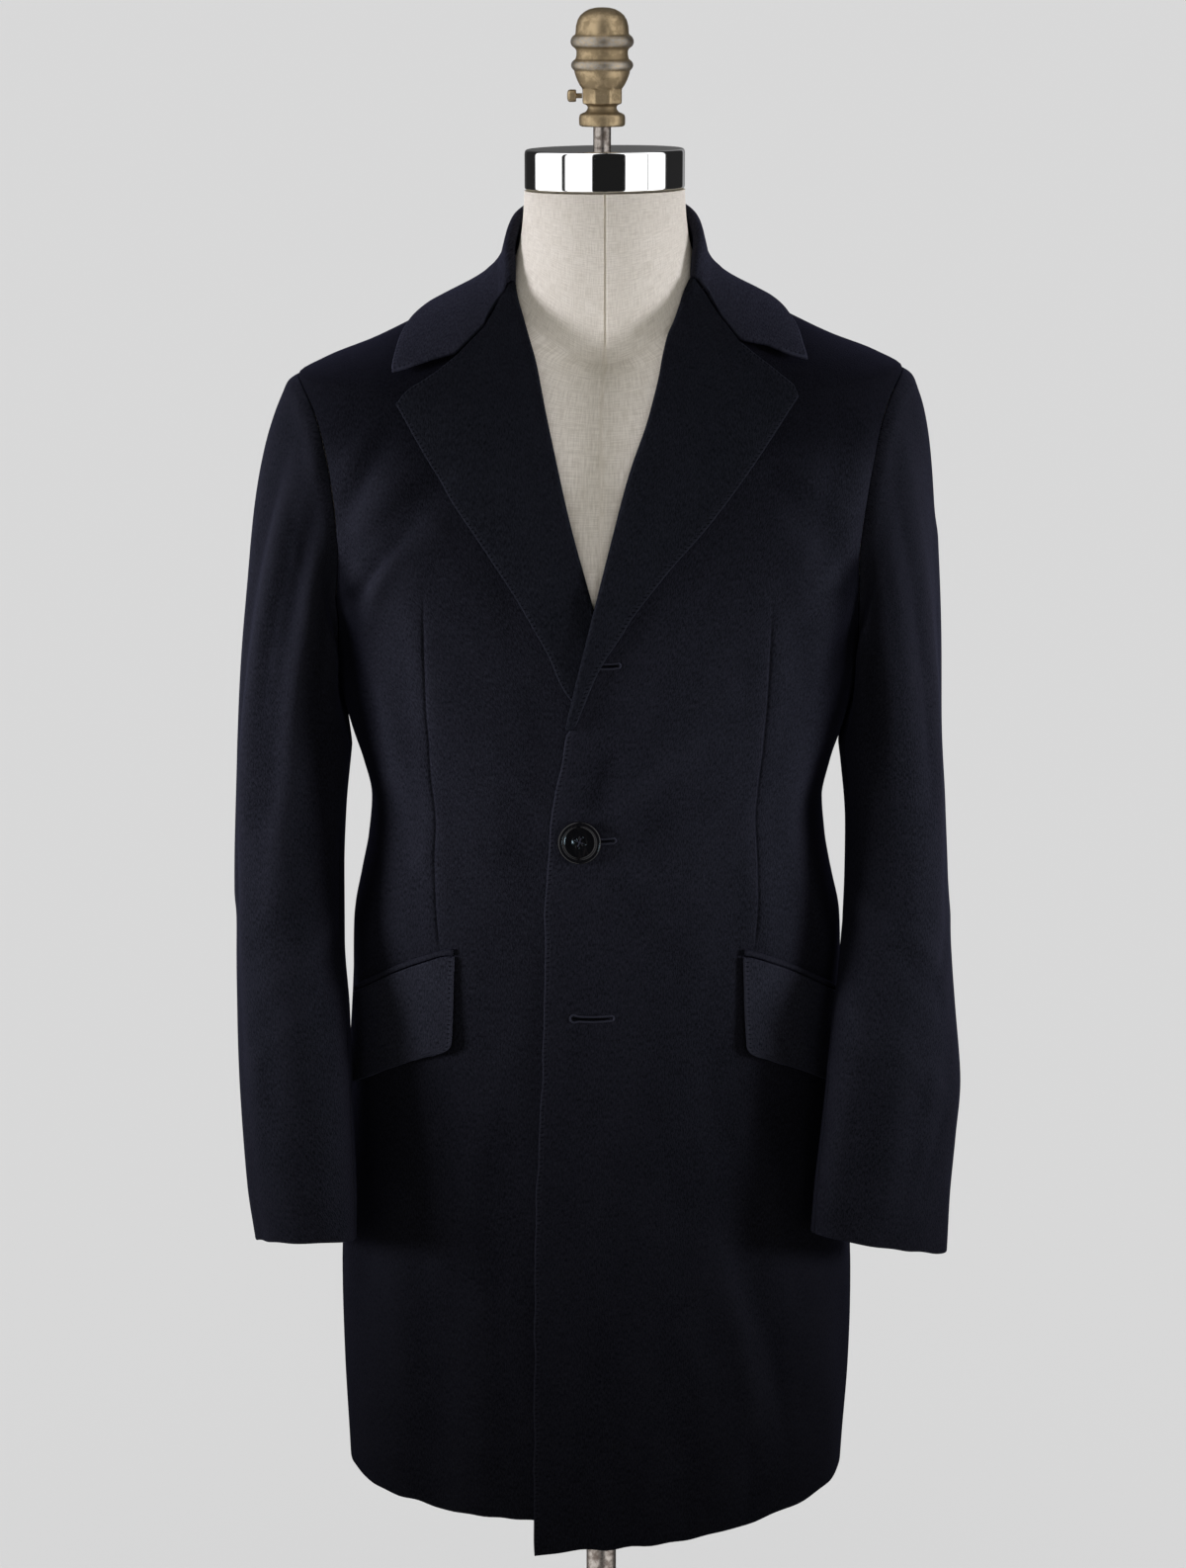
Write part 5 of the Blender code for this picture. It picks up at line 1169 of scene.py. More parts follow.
def turned_cloth(side, bearing, height, radius, stand=None, bridge=0.0, spring=0.0, proud=0.0):
    """Cloth that folds over its roll line and lies down: its middle surface.

    The first column of places lies on the roll line. The fold is a half circle from inside the wall
    below to above it; beyond it the cloth sinks to lie just clear of the piece below. stand is the
    cloth's part below its roll, bridge lifts it over the neck seam, spring lifts the laid cloth a
    little between its roll and its edge, and proud lifts the edge itself.
    """
    lying = LAID_CLEAR + FACING / 2
    roll = trunk(side, bearing[:, 0], height[:, 0])
    normal = skin_normal(bearing[:, 0], height[:, 0])
    toward = square_to(trunk(side, bearing[:, 1], height[:, 1]) - roll, normal)
    wide_radius = radius[:, None, None]
    angle = np.linspace(0, math.pi, 13)[None, :-1, None]
    spoke = -(toward[:, None] * np.sin(angle) + normal[:, None] * np.cos(angle))
    middle = roll[:, None] + toward[:, None] * wide_radius + normal[:, None] * (wide_radius - FACING / 2)
    fold = middle + spoke * wide_radius
    bearing, height, radius = bearing[:, 1:], height[:, 1:], radius[:, None]
    away = np.linalg.norm(trunk(side, bearing, height) - roll[:, None], axis=-1)
    full, share = away[:, -1:], away / away[:, -1:]
    stands = (2 * radius - FACING / 2 - lying) * (1 - smooth_step(away, radius, ROLL_SETTLE))
    hump = bridge * bell(height - NECK_SEAM, 0.009)
    swell = spring * np.sin(math.pi * np.clip(share, 0, 1)) * smooth_step(full, 0.01, 0.06)
    edge = proud * smooth_step(share, 0.45, 1.0) * smooth_step(full, 0.01, 0.05)
    points = [fold, trunk(side, bearing, height, lying + stands + hump + swell + edge)]
    if stand is not None:
        points.insert(0, trunk(side, *stand, -FACING / 2))
    return np.concatenate(points, axis=1)


def across_shares(first, wide, steps):
    """Shares across turned cloth: the roll line, the fold's end, then steps that close up at the edge."""
    squeeze = np.minimum(1, 0.45 * wide / NEAR[-1])
    last = 1 - squeeze / wide * NEAR[-1]
    middle = first[:, None] + (last - first)[:, None] * np.linspace(0, 1, steps)
    edge = 1 - (squeeze / wide)[:, None] * NEAR[-2::-1]
    return np.concatenate([np.zeros((len(wide), 1)), middle, edge], axis=1)


def add_lapel(node, side):
    """From the break up to the gorge seam: places worked out as seen from the front, then folded over."""
    gorge = GORGE[side]

    def border(table, start):
        z = np.linspace(start, table[-1, 0], 120)
        return np.stack([z, read(table, z)], -1)

    roll, edge = border(ROLL[side], BREAK + 0.003), border(LAPEL_EDGE[side], LAPEL_EDGE[side][0, 0])
    off_gorge = np.array([-0.0010, -side * 0.0012])  # the lapel ends just below and inside the seam
    end = np.concatenate([gorge[::-1], LAPEL_TOP[side][-2::-1]]) + off_gorge
    roll[-1] += off_gorge
    edge[-1] += off_gorge
    start = np.stack([roll[0], edge[0]])
    u = closing_up(0, 1, NEAR / LAPEL_LENGTH, LAPEL_GRID[0])
    wide = np.linalg.norm(along(edge, u) - along(roll, u), axis=-1)
    radius = fold_radius(along(roll, u)[:, 0])
    w = across_shares(radius / wide, wide, LAPEL_GRID[1])
    placed = coons(roll, edge, start, end, np.broadcast_to(u[:, None], w.shape), w)
    bearing, height = place_on_front(placed[..., 0], placed[..., 1])
    proud = 0.0012 + 0.0016 * smooth_step(u, 0.80, 1.0)[:, None]
    face = turned_cloth(side, bearing, height, radius, spring=0.0012, proud=proud)
    folded = face.shape[1] - w.shape[1]
    waves = slow_waves(placed[..., 0], placed[..., 1], SEEDS["lapel"] + side, 0.0004, 0.06, 1.4)
    waves = np.pad(waves, ((0, 0), (folded, 0)))
    face = face + grid_normals(face) * side * waves[..., None]
    free = np.pad(w[-1] > line_length(gorge) / line_length(end), (folded, 0))
    add_cloth(node, face, side, EDGED_WALL, (FREE, FREE, FREE, SEWN), (1, 3), material=LAPEL_WOOL_SHADED,
              from_middle=True, free={3: free})


def collar_half(side):
    """Half the collar from the centre back to the gorge: rows of middle points."""
    front_end = np.concatenate([GORGE[side][::-1], COLLAR_END[side][1:]])
    end_bearing, end_height = place_on_front(front_end[:, 0], front_end[:, 1])
    end = np.stack([np.abs(end_bearing), end_height], -1)

    def border(table, last):
        degrees = np.linspace(180, table[0, 0], 160)
        line = np.stack([np.radians(degrees), read(table, degrees)], -1)
        return line + (last - line[-1]) * smooth_step(-line[:, :1], -math.radians(110), -line[-1, 0])

    roll, edge = border(COLLAR_ROLL, end[0]), border(COLLAR_EDGE, end[-1])
    start = np.stack([roll[0], edge[0]])
    u = np.concatenate([np.linspace(0, 0.968, COLLAR_GRID[0]), 1 - NEAR[-2::-1] / COLLAR_LENGTH])
    wide = np.linalg.norm(skin(*along(edge, u).T) - skin(*along(roll, u).T), axis=-1)
    radius = np.full(len(u), FOLD_RADIUS)
    w = across_shares(radius / wide, wide, COLLAR_GRID[1])
    placed = coons(roll, edge, start, end, np.broadcast_to(u[:, None], w.shape), w)
    share = np.linspace(1, 0, 9)[None, :-1]
    seam = np.stack([along(roll, u)[:, 0], np.full(len(u), NECK_SEAM + HALF_SEAM)], -1)
    base = placed[:, 1]
    stand = base[:, None] + (seam - base)[:, None] * share[..., None]
    proud = 0.0014 + 0.0020 * smooth_step(u, 0.86, 1.0)[:, None]
    stand = (side * stand[..., 0], stand[..., 1])
    return turned_cloth(side, side * placed[..., 0], placed[..., 1], radius, stand, bridge=0.003, proud=proud)


COLLAR_SEWN_PAST = 0.055  # from the neck seam on, a front end is sewn for this plus the gorge's length


def add_collar():
    """Both halves joined at the back; its front ends are sewn past the gorge and free from there on."""
    left, right = collar_half(1), collar_half(-1)
    middle = np.concatenate([right[:0:-1], (left[:1] + right[:1]) / 2, left[1:]])
    free = lengths_along(middle[-1:], 1)[0] - COLLAR_SEWN_PAST > line_length(GORGE[1])
    add_cloth("collar", middle, -1, EDGED_WALL, (SEWN, FREE, SEWN, SEWN), (1, 2, 3), material=COLLAR_WOOL_LIT,
              from_middle=True, free={2: free, 3: free})


# ---------------------------------------------------------------- pockets
# Bearing in degrees and ring height along the pockets' top edge.
POCKET_TOP = np.array([
    (40.0, 0.9885), (44.0, 0.988), (53.0, 0.978), (60.0, 0.967), (68.0, 0.9525), (76.0, 0.939), (86.0, 0.923),
])
POCKET_DROP, WELT_HIGH = 0.077, 0.006
POCKET_INNER = {1: 0.1095, -1: 0.1065}  # distance across of the pocket's inner end
POCKET_OUTER = math.radians(78)
POCKET_REACH = 0.150  # what turns a bearing at the pockets into a length
FLAP_CORNER = 0.009  # radius of the flap's lower inner corner


def pocket_face(side, drop, corner, lift):
    """Outer face of a strip on the front panel: rows at these drops below the pocket's top edge."""
    middle_height = POCKET_TOP[0, 1] - (drop[0] + drop[-1]) / 2
    inner = bearing_across(POCKET_INNER[side], middle_height)
    left = np.clip((drop - (drop[-1] - corner)) / corner, 0, 1) if corner else 0 * drop
    cut = corner * (1 - np.sqrt(1 - left**2))
    width = (POCKET_OUTER - inner) * POCKET_REACH - cut
    stops = [cut + near for near in NEAR] + [cut + width - near for near in NEAR[::-1]]
    close = [1] * (len(NEAR) - 1)
    bearing = inner + spread(stops, close + [POCKET_COLUMNS] + close) / POCKET_REACH
    height = read(POCKET_TOP, np.degrees(bearing)) - drop[:, None]
    return trunk(side, side * bearing, height, lift[:, None]), side * bearing, height


def add_flap(node, side):
    """The flap: lies on the front, lifts a little towards its foot and has a rounded inner corner."""
    turn = np.linspace(0, math.pi / 2, 9)
    drop = np.concatenate([NEAR, np.linspace(0.010, POCKET_DROP - FLAP_CORNER, 18),
                           POCKET_DROP - FLAP_CORNER + FLAP_CORNER * np.sin(turn[1:-1]),
                           [POCKET_DROP - 0.00005, POCKET_DROP]])
    share = drop / POCKET_DROP
    lift = EDGED_WALL + 0.0009 + 0.0042 * share**1.6
    face, bearing, height = pocket_face(side, drop, FLAP_CORNER, lift)
    waves = slow_waves(bearing * MEAN_RADIUS, height, SEEDS["flap"] + side, 0.0006, 0.04, 1.2)
    face = face + skin_normal(bearing, height) * (waves * share[:, None])[..., None]
    add_cloth(node, face, -side, EDGED_WALL, (FREE, FREE, SEWN, FREE), (0, 3), material=FLAP_WOOL_LIT)


def add_welt(node, side):
    """The jetting above the flap: a narrow roll of cloth, with painted light on its crest and painted shadow
    beside it.
    """
    drop, share = np.linspace(-WELT_HIGH - 0.0005, -0.0005, 13), np.linspace(-1, 1, 13)
    lift = 2 * SEAM + 1.25 * FACING * np.sqrt(1 - 0.86 * share**2)
    face, _, _ = pocket_face(side, drop, 0.0, lift)
    # Painted light on the crest, and painted shadow along both edges.
    crest_light, edge_shadow = 0.9 * (1 - share[:, None] ** 2), 0.9 * smooth_step(abs(share[:, None]), 0.6, 0.95)
    add_cloth(node, face, -side, FACING * 0.8, (FREE, FREE, FREE, FREE), lift=crest_light, painted_shade=edge_shadow)


# ---------------------------------------------------------------- turned and tubular pieces
def turned_rings(profile, sides):
    """Rings of a turned shape about +Z, from rows of radius and height."""
    angle = np.arange(sides) * 2 * math.pi / sides
    profile = np.asarray(profile, float)
    x, y = profile[:, :1] * np.cos(angle), profile[:, :1] * np.sin(angle)
    return np.stack([x, y, np.broadcast_to(profile[:, 1:2], x.shape)], -1)


def filleted(profile, radius, steps=5):
    """The profile with each corner replaced by a quadratic curve that starts up to this far from it."""
    profile = np.asarray(profile, float)
    t = np.linspace(0, 1, steps)[:, None]
    rows = [profile[:1]]
    for before, here, after in zip(profile, profile[1:], profile[2:]):
        into, out = before - here, after - here
        reach = min(radius, 0.48 * np.linalg.norm(into), 0.48 * np.linalg.norm(out))
        rows.append((1 - t) ** 2 * (here + unit(into) * reach) + 2 * t * (1 - t) * here
                    + t * t * (here + unit(out) * reach))
    return np.concatenate([*rows, profile[-1:]])


def stack_faces(rows, columns):
    """Faces of a solid through closed rings, with a flat face at each end."""
    sides = grid_faces(rows, columns, wrap=True)
    last = (rows - 1) * columns
    return [*sides.tolist(), list(range(columns))[::-1], [last + k for k in range(columns)]]


def add_stack(name, rings, material, sharp_angle=35.0, marks=None, uv=None):
    """A closed solid through rings that run upwards and turn left-handed seen from above."""
    faces = stack_faces(*rings.shape[:2])
    return add_mesh(name, rings, faces, [material], uv, marks, sharp_angle=sharp_angle)


def add_tube(name, path, outward, radius, material, sides=8, closed=True):
    """A tube of this radius, which may vary, along a path; outward points off the path at each point."""
    tangent = np.roll(path, -1, axis=0) - np.roll(path, 1, axis=0)
    if not closed:
        tangent[0], tangent[-1] = path[1] - path[0], path[-1] - path[-2]
    tangent = unit(tangent)
    normal = square_to(outward, tangent)
    across = np.cross(tangent, normal)
    angle = (np.arange(sides) * 2 * math.pi / sides)[None, :, None]
    radius = np.broadcast_to(radius, len(path))[:, None, None]
    rings = path[:, None] + radius * (normal[:, None] * np.cos(angle) + across[:, None] * np.sin(angle))
    count = len(path)
    if closed:
        faces = np.ascontiguousarray(grid_faces(count + 1, sides, wrap=True) % (count * sides))
    else:
        faces = stack_faces(count, sides)
    return add_mesh(name, rings, faces, [material])


# ---------------------------------------------------------------- button and buttonholes
BUTTON_PLACE = (1.0825, -0.0172)  # height and distance across, seen from the front
# The front face from its middle out to the rim, then round to the back: radius, height above its underside.
BUTTON_PROFILE = [
    (0.0001, 0.0018), (0.006, 0.00185), (0.0112, 0.00189), (0.0122, 0.00205), (0.0128, 0.0033),
    (0.0132, 0.00385), (0.0157, 0.00395), (0.0165, 0.0033), (0.0167, 0.0022), (0.016, 0.0008),
    (0.0145, 0.00035), (0.011, 0.00005), (0.0001, 0.0),
]
BUTTON_HOLES = np.array([(-0.0033, 0.0018), (0.0012, 0.0035), (0.0033, -0.0012), (-0.0013, -0.0033)])
MIDDLE_RADIUS = 0.0060  # of the shallow dish that holds the holes
SAG, STITCH_PITCH = 0.0007, 0.00085  # a buttonhole's sag, and the step of its stitches
LOOP_HALF_HIGH = 0.00190
# Name, height, from and to across, and how much its eyelet widens it.
BUTTONHOLES = (
    ("buttonhole_top", 1.2225, -0.0100, 0.0135, 0.0),
    ("buttonhole_middle", 1.0835, -0.0150, 0.0102, 0.0),
    ("buttonhole_low", 0.9465, -0.0246, 0.0092, 0.45),
)


def add_button():
    """A dished four-hole button: a fine turned profile, pressed in where its holes are, and its thread."""
    bearing, height = place_on_front(*(np.array([value]) for value in BUTTON_PLACE))
    place, outward = trunk(1, bearing, height, 0.0013)[0], skin_normal(bearing, height)[0]
    sideways = unit(np.cross((0.0, 0.0, 1.0), outward))
    upward = np.cross(outward, sideways)

    rows = np.concatenate([np.linspace(0.0001, 0.0058, 30), [MIDDLE_RADIUS]])
    dish = np.stack([rows, 0.00145 + 0.00040 * (rows / MIDDLE_RADIUS) ** 2], -1)
    rim = filleted(BUTTON_PROFILE, 0.0006, 5)
    rim = rim[rim[:, 0] > MIDDLE_RADIUS + 0.0001]
    rings = turned_rings(np.concatenate([dish, rim, [(0.0001, 0.0)]]), 144)
    depth = np.zeros(rings.shape[:2])
    for across, up in BUTTON_HOLES:
        away = np.hypot(rings[..., 0] - across, rings[..., 1] - up)
        depth += 0.0015 * (1 - smooth_step(away, 0.00085, 0.00120)) - 0.00012 * bell(away - 0.00135, 0.00025)
    rings[..., 2] -= depth * (np.arange(len(rings)) < len(rows))[:, None]
    placed = place + rings[..., :1] * sideways + rings[..., 1:2] * upward + rings[..., 2:] * outward
    declare(add_stack("button_horn", placed[::-1], HORN, 30.0), "button")

    t = np.linspace(0, 1, 25)[:, None]
    twist = 0.00052 * (1 + 0.16 * np.sin(np.arange(25) * 1.9))
    for k, (first, last) in enumerate((BUTTON_HOLES[[0, 2]], BUTTON_HOLES[[1, 3]])):
        flat = first + (last - first) * t
        lift = 0.0004 + (0.0020 + 0.0004 * k) * np.sin(math.pi * np.clip(t, 0.0, 1.0)) ** 0.35
        path = place + flat[:, :1] * sideways + flat[:, 1:] * upward + lift * outward
        outwards = np.broadcast_to(outward, path.shape)
        declare(add_tube(f"button_thread_{k}", path, outwards, twist, THREAD, 10, False))


def add_buttonhole(name, z, from_x, to_x, eyelet):
    """Thread worked round a slit that is painted dark as its shade: a tube whose thickness beats with its
    stitches, on a flat loop.

    The loop is two lines joined by half circles; an eyelet widens its end nearer the front edge, and the
    whole sags as half a sine between its ends.
    """
    high = LOOP_HALF_HIGH
    straight = to_x - from_x - 2 * high
    run = np.arange(0, 2 * straight + 2 * math.pi * high, 0.00022)
    after = run - straight - math.pi * high
    on_top, on_low = run < straight, (after >= 0) & (after < straight)
    at_end = ~on_top & (run < straight + math.pi * high)
    turn_end, turn_start = (run - straight) / high, (after - straight) / high
    parts = [on_top, at_end, on_low]
    across = [run, straight + high * np.sin(turn_end), straight - after]
    x = np.select(parts, across, -high * np.sin(turn_start))
    up = np.select(parts, [high, high * np.cos(turn_end), -high], -high * np.cos(turn_start))
    up = up * (1 + eyelet * bell(x - 0.001, 0.0022))

    def on_front(x, up):
        sag = -SAG * np.sin(np.clip(x / straight, 0, 1) * math.pi)
        return place_on_front(z + up + sag, from_x + high + x)

    places = on_front(x, up)
    stitch = 0.00072 * (1 + 0.20 * np.abs(np.sin(run * math.pi / STITCH_PITCH)))
    declare(add_tube(name, trunk(1, *places, 0.0003), skin_normal(*places), stitch, THREAD))
    # A dark tube along the middle of the loop paints the shade inside the slit.
    x = np.linspace(0.0, straight, 60)
    places = on_front(x, 0.0)
    inside = 0.00095 * np.sqrt(np.clip(1 - (2 * x / straight - 1) ** 6, 0.02, 1))
    path = trunk(1, *places, -0.00035)
    declare(add_tube(name + "_slit", path, skin_normal(*places), inside, SLIT_SHADE, closed=False))


# ---------------------------------------------------------------- dress form and stand
# How far the form lies inside the coat's skin, by height.
FORM_INSET = np.array([
    (0.8, 0.023), (0.95, 0.019), (1.09, 0.012), (1.2, 0.013), (1.28, 0.0115), (1.36, 0.0082), (1.41, 0.0062),
    (1.43, 0.0058), (1.49, 0.005),
])
FORM_FOOT, FORM_LAST = 0.80, 1.486
# Rings of the neck: heights at its sides, front and back, half-width, and depths in front and behind.
NECK = np.array([
    (1.494, 1.441, 1.508, 0.088, 0.069, 0.08), (1.503, 1.459, 1.518, 0.0775, 0.0645, 0.0735),
    (1.515, 1.48, 1.527, 0.0705, 0.0618, 0.07), (1.53, 1.51, 1.538, 0.0655, 0.06, 0.0678),
    (1.55, 1.54, 1.552, 0.0628, 0.0592, 0.066), (1.568, 1.568, 1.568, 0.0618, 0.059, 0.0645),
])
FORM_RADIUS = 0.062  # about the neck's, which turns a bearing into a distance from the form's seam
CAP_RADIUS = (0.0617, 0.0600)
CAP_MIDDLE = (0.0020, 0.0030)
CAP_PROFILE = [
    (0.30, 1.5686), (0.965, 1.5684), (0.998, 1.5696), (1.0, 1.5716), (1.0, 1.5962), (0.992, 1.5982),
    (0.97, 1.599), (0.80, 1.5993), (0.45, 1.5996), (0.13, 1.5998), (0.02, 1.5998),
]  # radius as a share of the cap's, height
FINIAL_PROFILE = np.array([
    (0.0158, 1.616), (0.0175, 1.6168), (0.0177, 1.619), (0.0177, 1.6226), (0.0172, 1.6248), (0.0155, 1.6258),
    (0.0128, 1.6268), (0.0112, 1.629), (0.011, 1.6306), (0.0122, 1.6322), (0.0148, 1.6332), (0.015, 1.635),
    (0.015, 1.6425), (0.015, 1.6436), (0.0155, 1.6447), (0.0172, 1.647), (0.019, 1.6505), (0.0204, 1.654),
    (0.0212, 1.6566), (0.0212, 1.6576), (0.0222, 1.6586), (0.0234, 1.66), (0.0238, 1.6618), (0.0234, 1.6638),
    (0.022, 1.6654), (0.0204, 1.6664), (0.0198, 1.6688), (0.0196, 1.6712), (0.0199, 1.6734), (0.0212, 1.6748),
    (0.023, 1.676), (0.024, 1.6778), (0.0242, 1.6796), (0.0238, 1.6815), (0.0226, 1.6834), (0.0208, 1.6846),
    (0.0204, 1.6856), (0.0203, 1.6872), (0.02, 1.691), (0.0188, 1.6955), (0.0167, 1.699), (0.0136, 1.7016),
    (0.0098, 1.7036), (0.005, 1.7047), (0.001, 1.7049),
])
FACETED = (1.6325, 1.6445)
FACET_SOFT = 0.0004  # over which the round turns into the facets
ROD_RADIUS, POLE_RADIUS = 0.0068, 0.0125
SCREW_Z = 1.6390
SCREW_PROFILE = [
    (0.0019, 0.0), (0.0019, 0.0045), (0.0044, 0.0047), (0.0047, 0.0056), (0.0047, 0.0096), (0.0042, 0.0108),
    (0.0026, 0.0114), (0.0002, 0.0115),
]
BASE_PROFILE = [
    (0.188, 0.0), (0.19, 0.002), (0.19, 0.007), (0.186, 0.011), (0.11, 0.015), (0.04, 0.019), (0.028, 0.022),
    (0.024, 0.03), (0.024, 0.054), (0.0225, 0.056),
]


def add_torso():
    """The form: the skin drawn in by its inset, then the neck's rings, with a seam down its middle."""
    beside = np.array([0.0, 0.0005, 0.0011, 0.0019, 0.0032]) / FORM_RADIUS
    half = closing_up(0, math.pi, beside, 92)
    bearing = np.concatenate([half, 2 * math.pi - half[-2:0:-1]])
    heights = np.concatenate([[FORM_FOOT], np.linspace(FORM_FOOT + 0.003, FORM_LAST, 130)])
    at, height = np.meshgrid(bearing, heights)
    torso = off_skin(at, height, -read(FORM_INSET, height))
    torso[..., :2] *= 1 - 0.035 * bell(height - FORM_FOOT, 0.004)[..., None]
    rows = np.linspace(NECK[0, 0], NECK[-1, 0], 40)
    side_z, front_z, back_z, wide, front_depth, back_depth = (read(NECK, rows, k)[:, None] for k in range(6))
    in_front = np.cos(bearing) > 0
    depth = np.where(in_front, front_depth, back_depth)
    reach = ((np.sin(bearing) / wide) ** 2 + (np.cos(bearing) / depth) ** 2) ** -0.5
    x = reach * np.sin(bearing) + CAP_MIDDLE[0]
    z = side_z + (np.where(in_front, front_z, back_z) - side_z) * np.cos(bearing) ** 2 + LEAN_SLOPE * x
    rings = np.concatenate([torso, np.stack([x, -reach * np.cos(bearing), z], -1)])
    wrapped = np.abs((bearing + math.pi) % (2 * math.pi) - math.pi)
    to_seam = np.minimum(wrapped, math.pi - wrapped) * FORM_RADIUS
    groove = -0.0011 * bell(to_seam, 0.0009) + 0.0004 * bell(to_seam - 0.0022, 0.0010)
    rings = rings + np.stack([np.sin(bearing), -np.cos(bearing), 0 * bearing], -1) * groove[:, None]
    uv = np.stack(np.broadcast_arrays(bearing[None, :] * 0.07, rings[:, :1, 2]), -1).reshape(-1, 2)
    declare(add_stack("form_torso_linen", rings, LINEN, 60.0, uv=uv), "form_torso")


def add_neck_cap():
    """The metal cap: a drum with softly rounded edges and a slightly domed top."""
    fine = filleted(np.array(CAP_PROFILE) * (CAP_RADIUS[0], 1.0), 0.0012, 6) / (CAP_RADIUS[0], 1.0)
    rings = turned_rings(fine, 192)
    rings[..., :2] = rings[..., :2] * CAP_RADIUS + CAP_MIDDLE
    rings[..., 2] += LEAN_SLOPE * rings[..., 0]
    declare(add_stack("form_neck_cap_chrome", rings, CHROME), "form_neck_cap")


def add_finial():
    """The turned finial; between two heights its round is cut to eight flats. Hollows gather dirt."""
    profile, sides = filleted(FINIAL_PROFILE, 0.0009, 4), 128
    rings = turned_rings(profile, sides)
    radius, height = profile.T
    low, high = FACETED
    inside = smooth_step(height, low, low + FACET_SOFT) * (1 - smooth_step(height, high - FACET_SOFT, high))
    angle = np.arange(sides) * 2 * math.pi / sides
    eighth = math.pi / 4
    flat = 1 / np.cos((angle + eighth / 2) % eighth - eighth / 2)
    rings[..., :2] *= (1 + inside[:, None] * (np.minimum(flat, 1.06) - 1))[..., None]
    window = 9
    padded = np.pad(radius, window, mode="edge")
    around = np.array([padded[k:k + 2 * window + 1].max() for k in range(len(radius))])
    hollow = np.clip((around - radius) / 0.004, 0, 1) * (height < 1.695)
    worn = smooth_step(radius, 0.0215, 0.0234)
    marks = {"hollow": np.repeat(hollow, sides), "worn": np.repeat(worn, sides)}
    declare(add_stack("form_finial_brass", rings, BRASS, 40.0, marks), "form_finial")


def add_screw():
    """A small set screw with a round head and a slot in it."""
    rings = turned_rings(filleted(SCREW_PROFILE, 0.0004, 4), 48)
    rings[..., 2] -= 0.0012 * bell(rings[..., 0], 0.0006) * (rings[..., 2] > 0.0104)
    placed = np.stack([-0.0153 - rings[..., 2], rings[..., 0], SCREW_Z + rings[..., 1]], -1)
    marks = {"hollow": np.zeros(placed[..., 0].size)}
    declare(add_stack("form_screw_brass", placed[::-1], BRASS, 40.0, marks), "form_screw")


def add_stand():
    """Rod, pole and round base, all turned."""
    rod = filleted([(ROD_RADIUS, z) for z in (1.5999, 1.6020, 1.6150, 1.6157)], 0.0005)
    pole = [(POLE_RADIUS, z) for z in (0.0563, 0.40, FORM_FOOT - SEAM)]
    base = filleted(BASE_PROFILE, 0.0030, 6)
    for name, profile, sides, material, slot, node in (
        ("form_rod_steel", rod, 64, STEEL, "steel", "form_rod"),
        ("stand_pole_steel", pole, 64, STEEL, "steel", "stand_pole"),
        ("stand_base_iron", base, 160, IRON, "base_paint", "stand_base"),
    ):
        declare(add_stack(name, turned_rings(profile, sides), material), node)


# ---------------------------------------------------------------- the coat as a whole
def build_coat():
    """Every cloth piece, each then attached to the root body; rests lists what each lies on or hangs from."""
    rests = {"collar": "form_torso"}  # what each piece lies on or hangs from
    for side, hand in ((1, "left"), (-1, "right")):
        front, back = "front_" + hand, "back_" + hand
        add_trunk_piece(back, side, False)
        add_trunk_piece(front, side, True)
        for name, start, end, columns in (
            ("top_sleeve_", BACK_SLEEVE_SEAM - 360, FRONT_SLEEVE_SEAM, TOP_SLEEVE_COLUMNS),
            ("under_sleeve_", FRONT_SLEEVE_SEAM, BACK_SLEEVE_SEAM, UNDER_SLEEVE_COLUMNS),
        ):
            add_sleeve_piece(name + hand, side, start, end, columns)
        add_lapel("lapel_" + hand, side)
        add_welt("pocket_welt_" + hand, side)
        add_flap("pocket_flap_" + hand, side)
        rests |= {front: "form_torso", back: "form_torso", "under_sleeve_" + hand: back}
        rests |= {name + hand: front for name in ("top_sleeve_", "lapel_", "pocket_flap_")}
    add_collar()
    for node, (made, wide, long, area) in cloth_pieces.items():
        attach(made, "root")
        if node not in rests:
            continue  # a welt, cut and held with its front


# ---------------------------------------------------------------- stage, light and camera
BACKDROP = 0.686  # linear value of the pale ground
FLOOR_HALF = 400.0
# What shiny pieces mirror: degrees round from the front, and the brightness there.
PANELS = (
    (-180, 0.10), (-150, 0.02), (-118, 0.02), (-116, 1.7), (-64, 1.9), (-62.5, 0.015), (-58, 0.015),
    (-56, 1.9), (-19, 1.9), (-17.5, 0.012), (28.5, 0.012), (30, 1.9), (61.5, 1.9), (62.5, 0.25), (64, 0.25),
    (65, 1.9), (94, 1.7), (96, 0.02), (150, 0.02), (153, 0.35), (180, 0.10),
)
# Gridded softboxes on the coat: azimuth from the front towards +X, height and the height it aims at, cone in
# degrees, watts.
SOFTBOXES = {
    "box_left": (-19, 1.45, 1.14, 28, 25), "box_right": (17, 1.5, 1.14, 28, 33),
    "rim_left": (-78, 1.3, 1.16, 28, 445), "rim_right": (75, 1.3, 1.16, 28, 355),
    "box_back_left": (-148, 1.1, 1.20, 34, 170), "box_back_right": (148, 1.1, 1.20, 34, 170),
}
SOFTBOX_FAR, SOFTBOX_RADIUS, SOFTBOX_COLOR = 2.2, 0.45, (0.93, 0.95, 1.18)


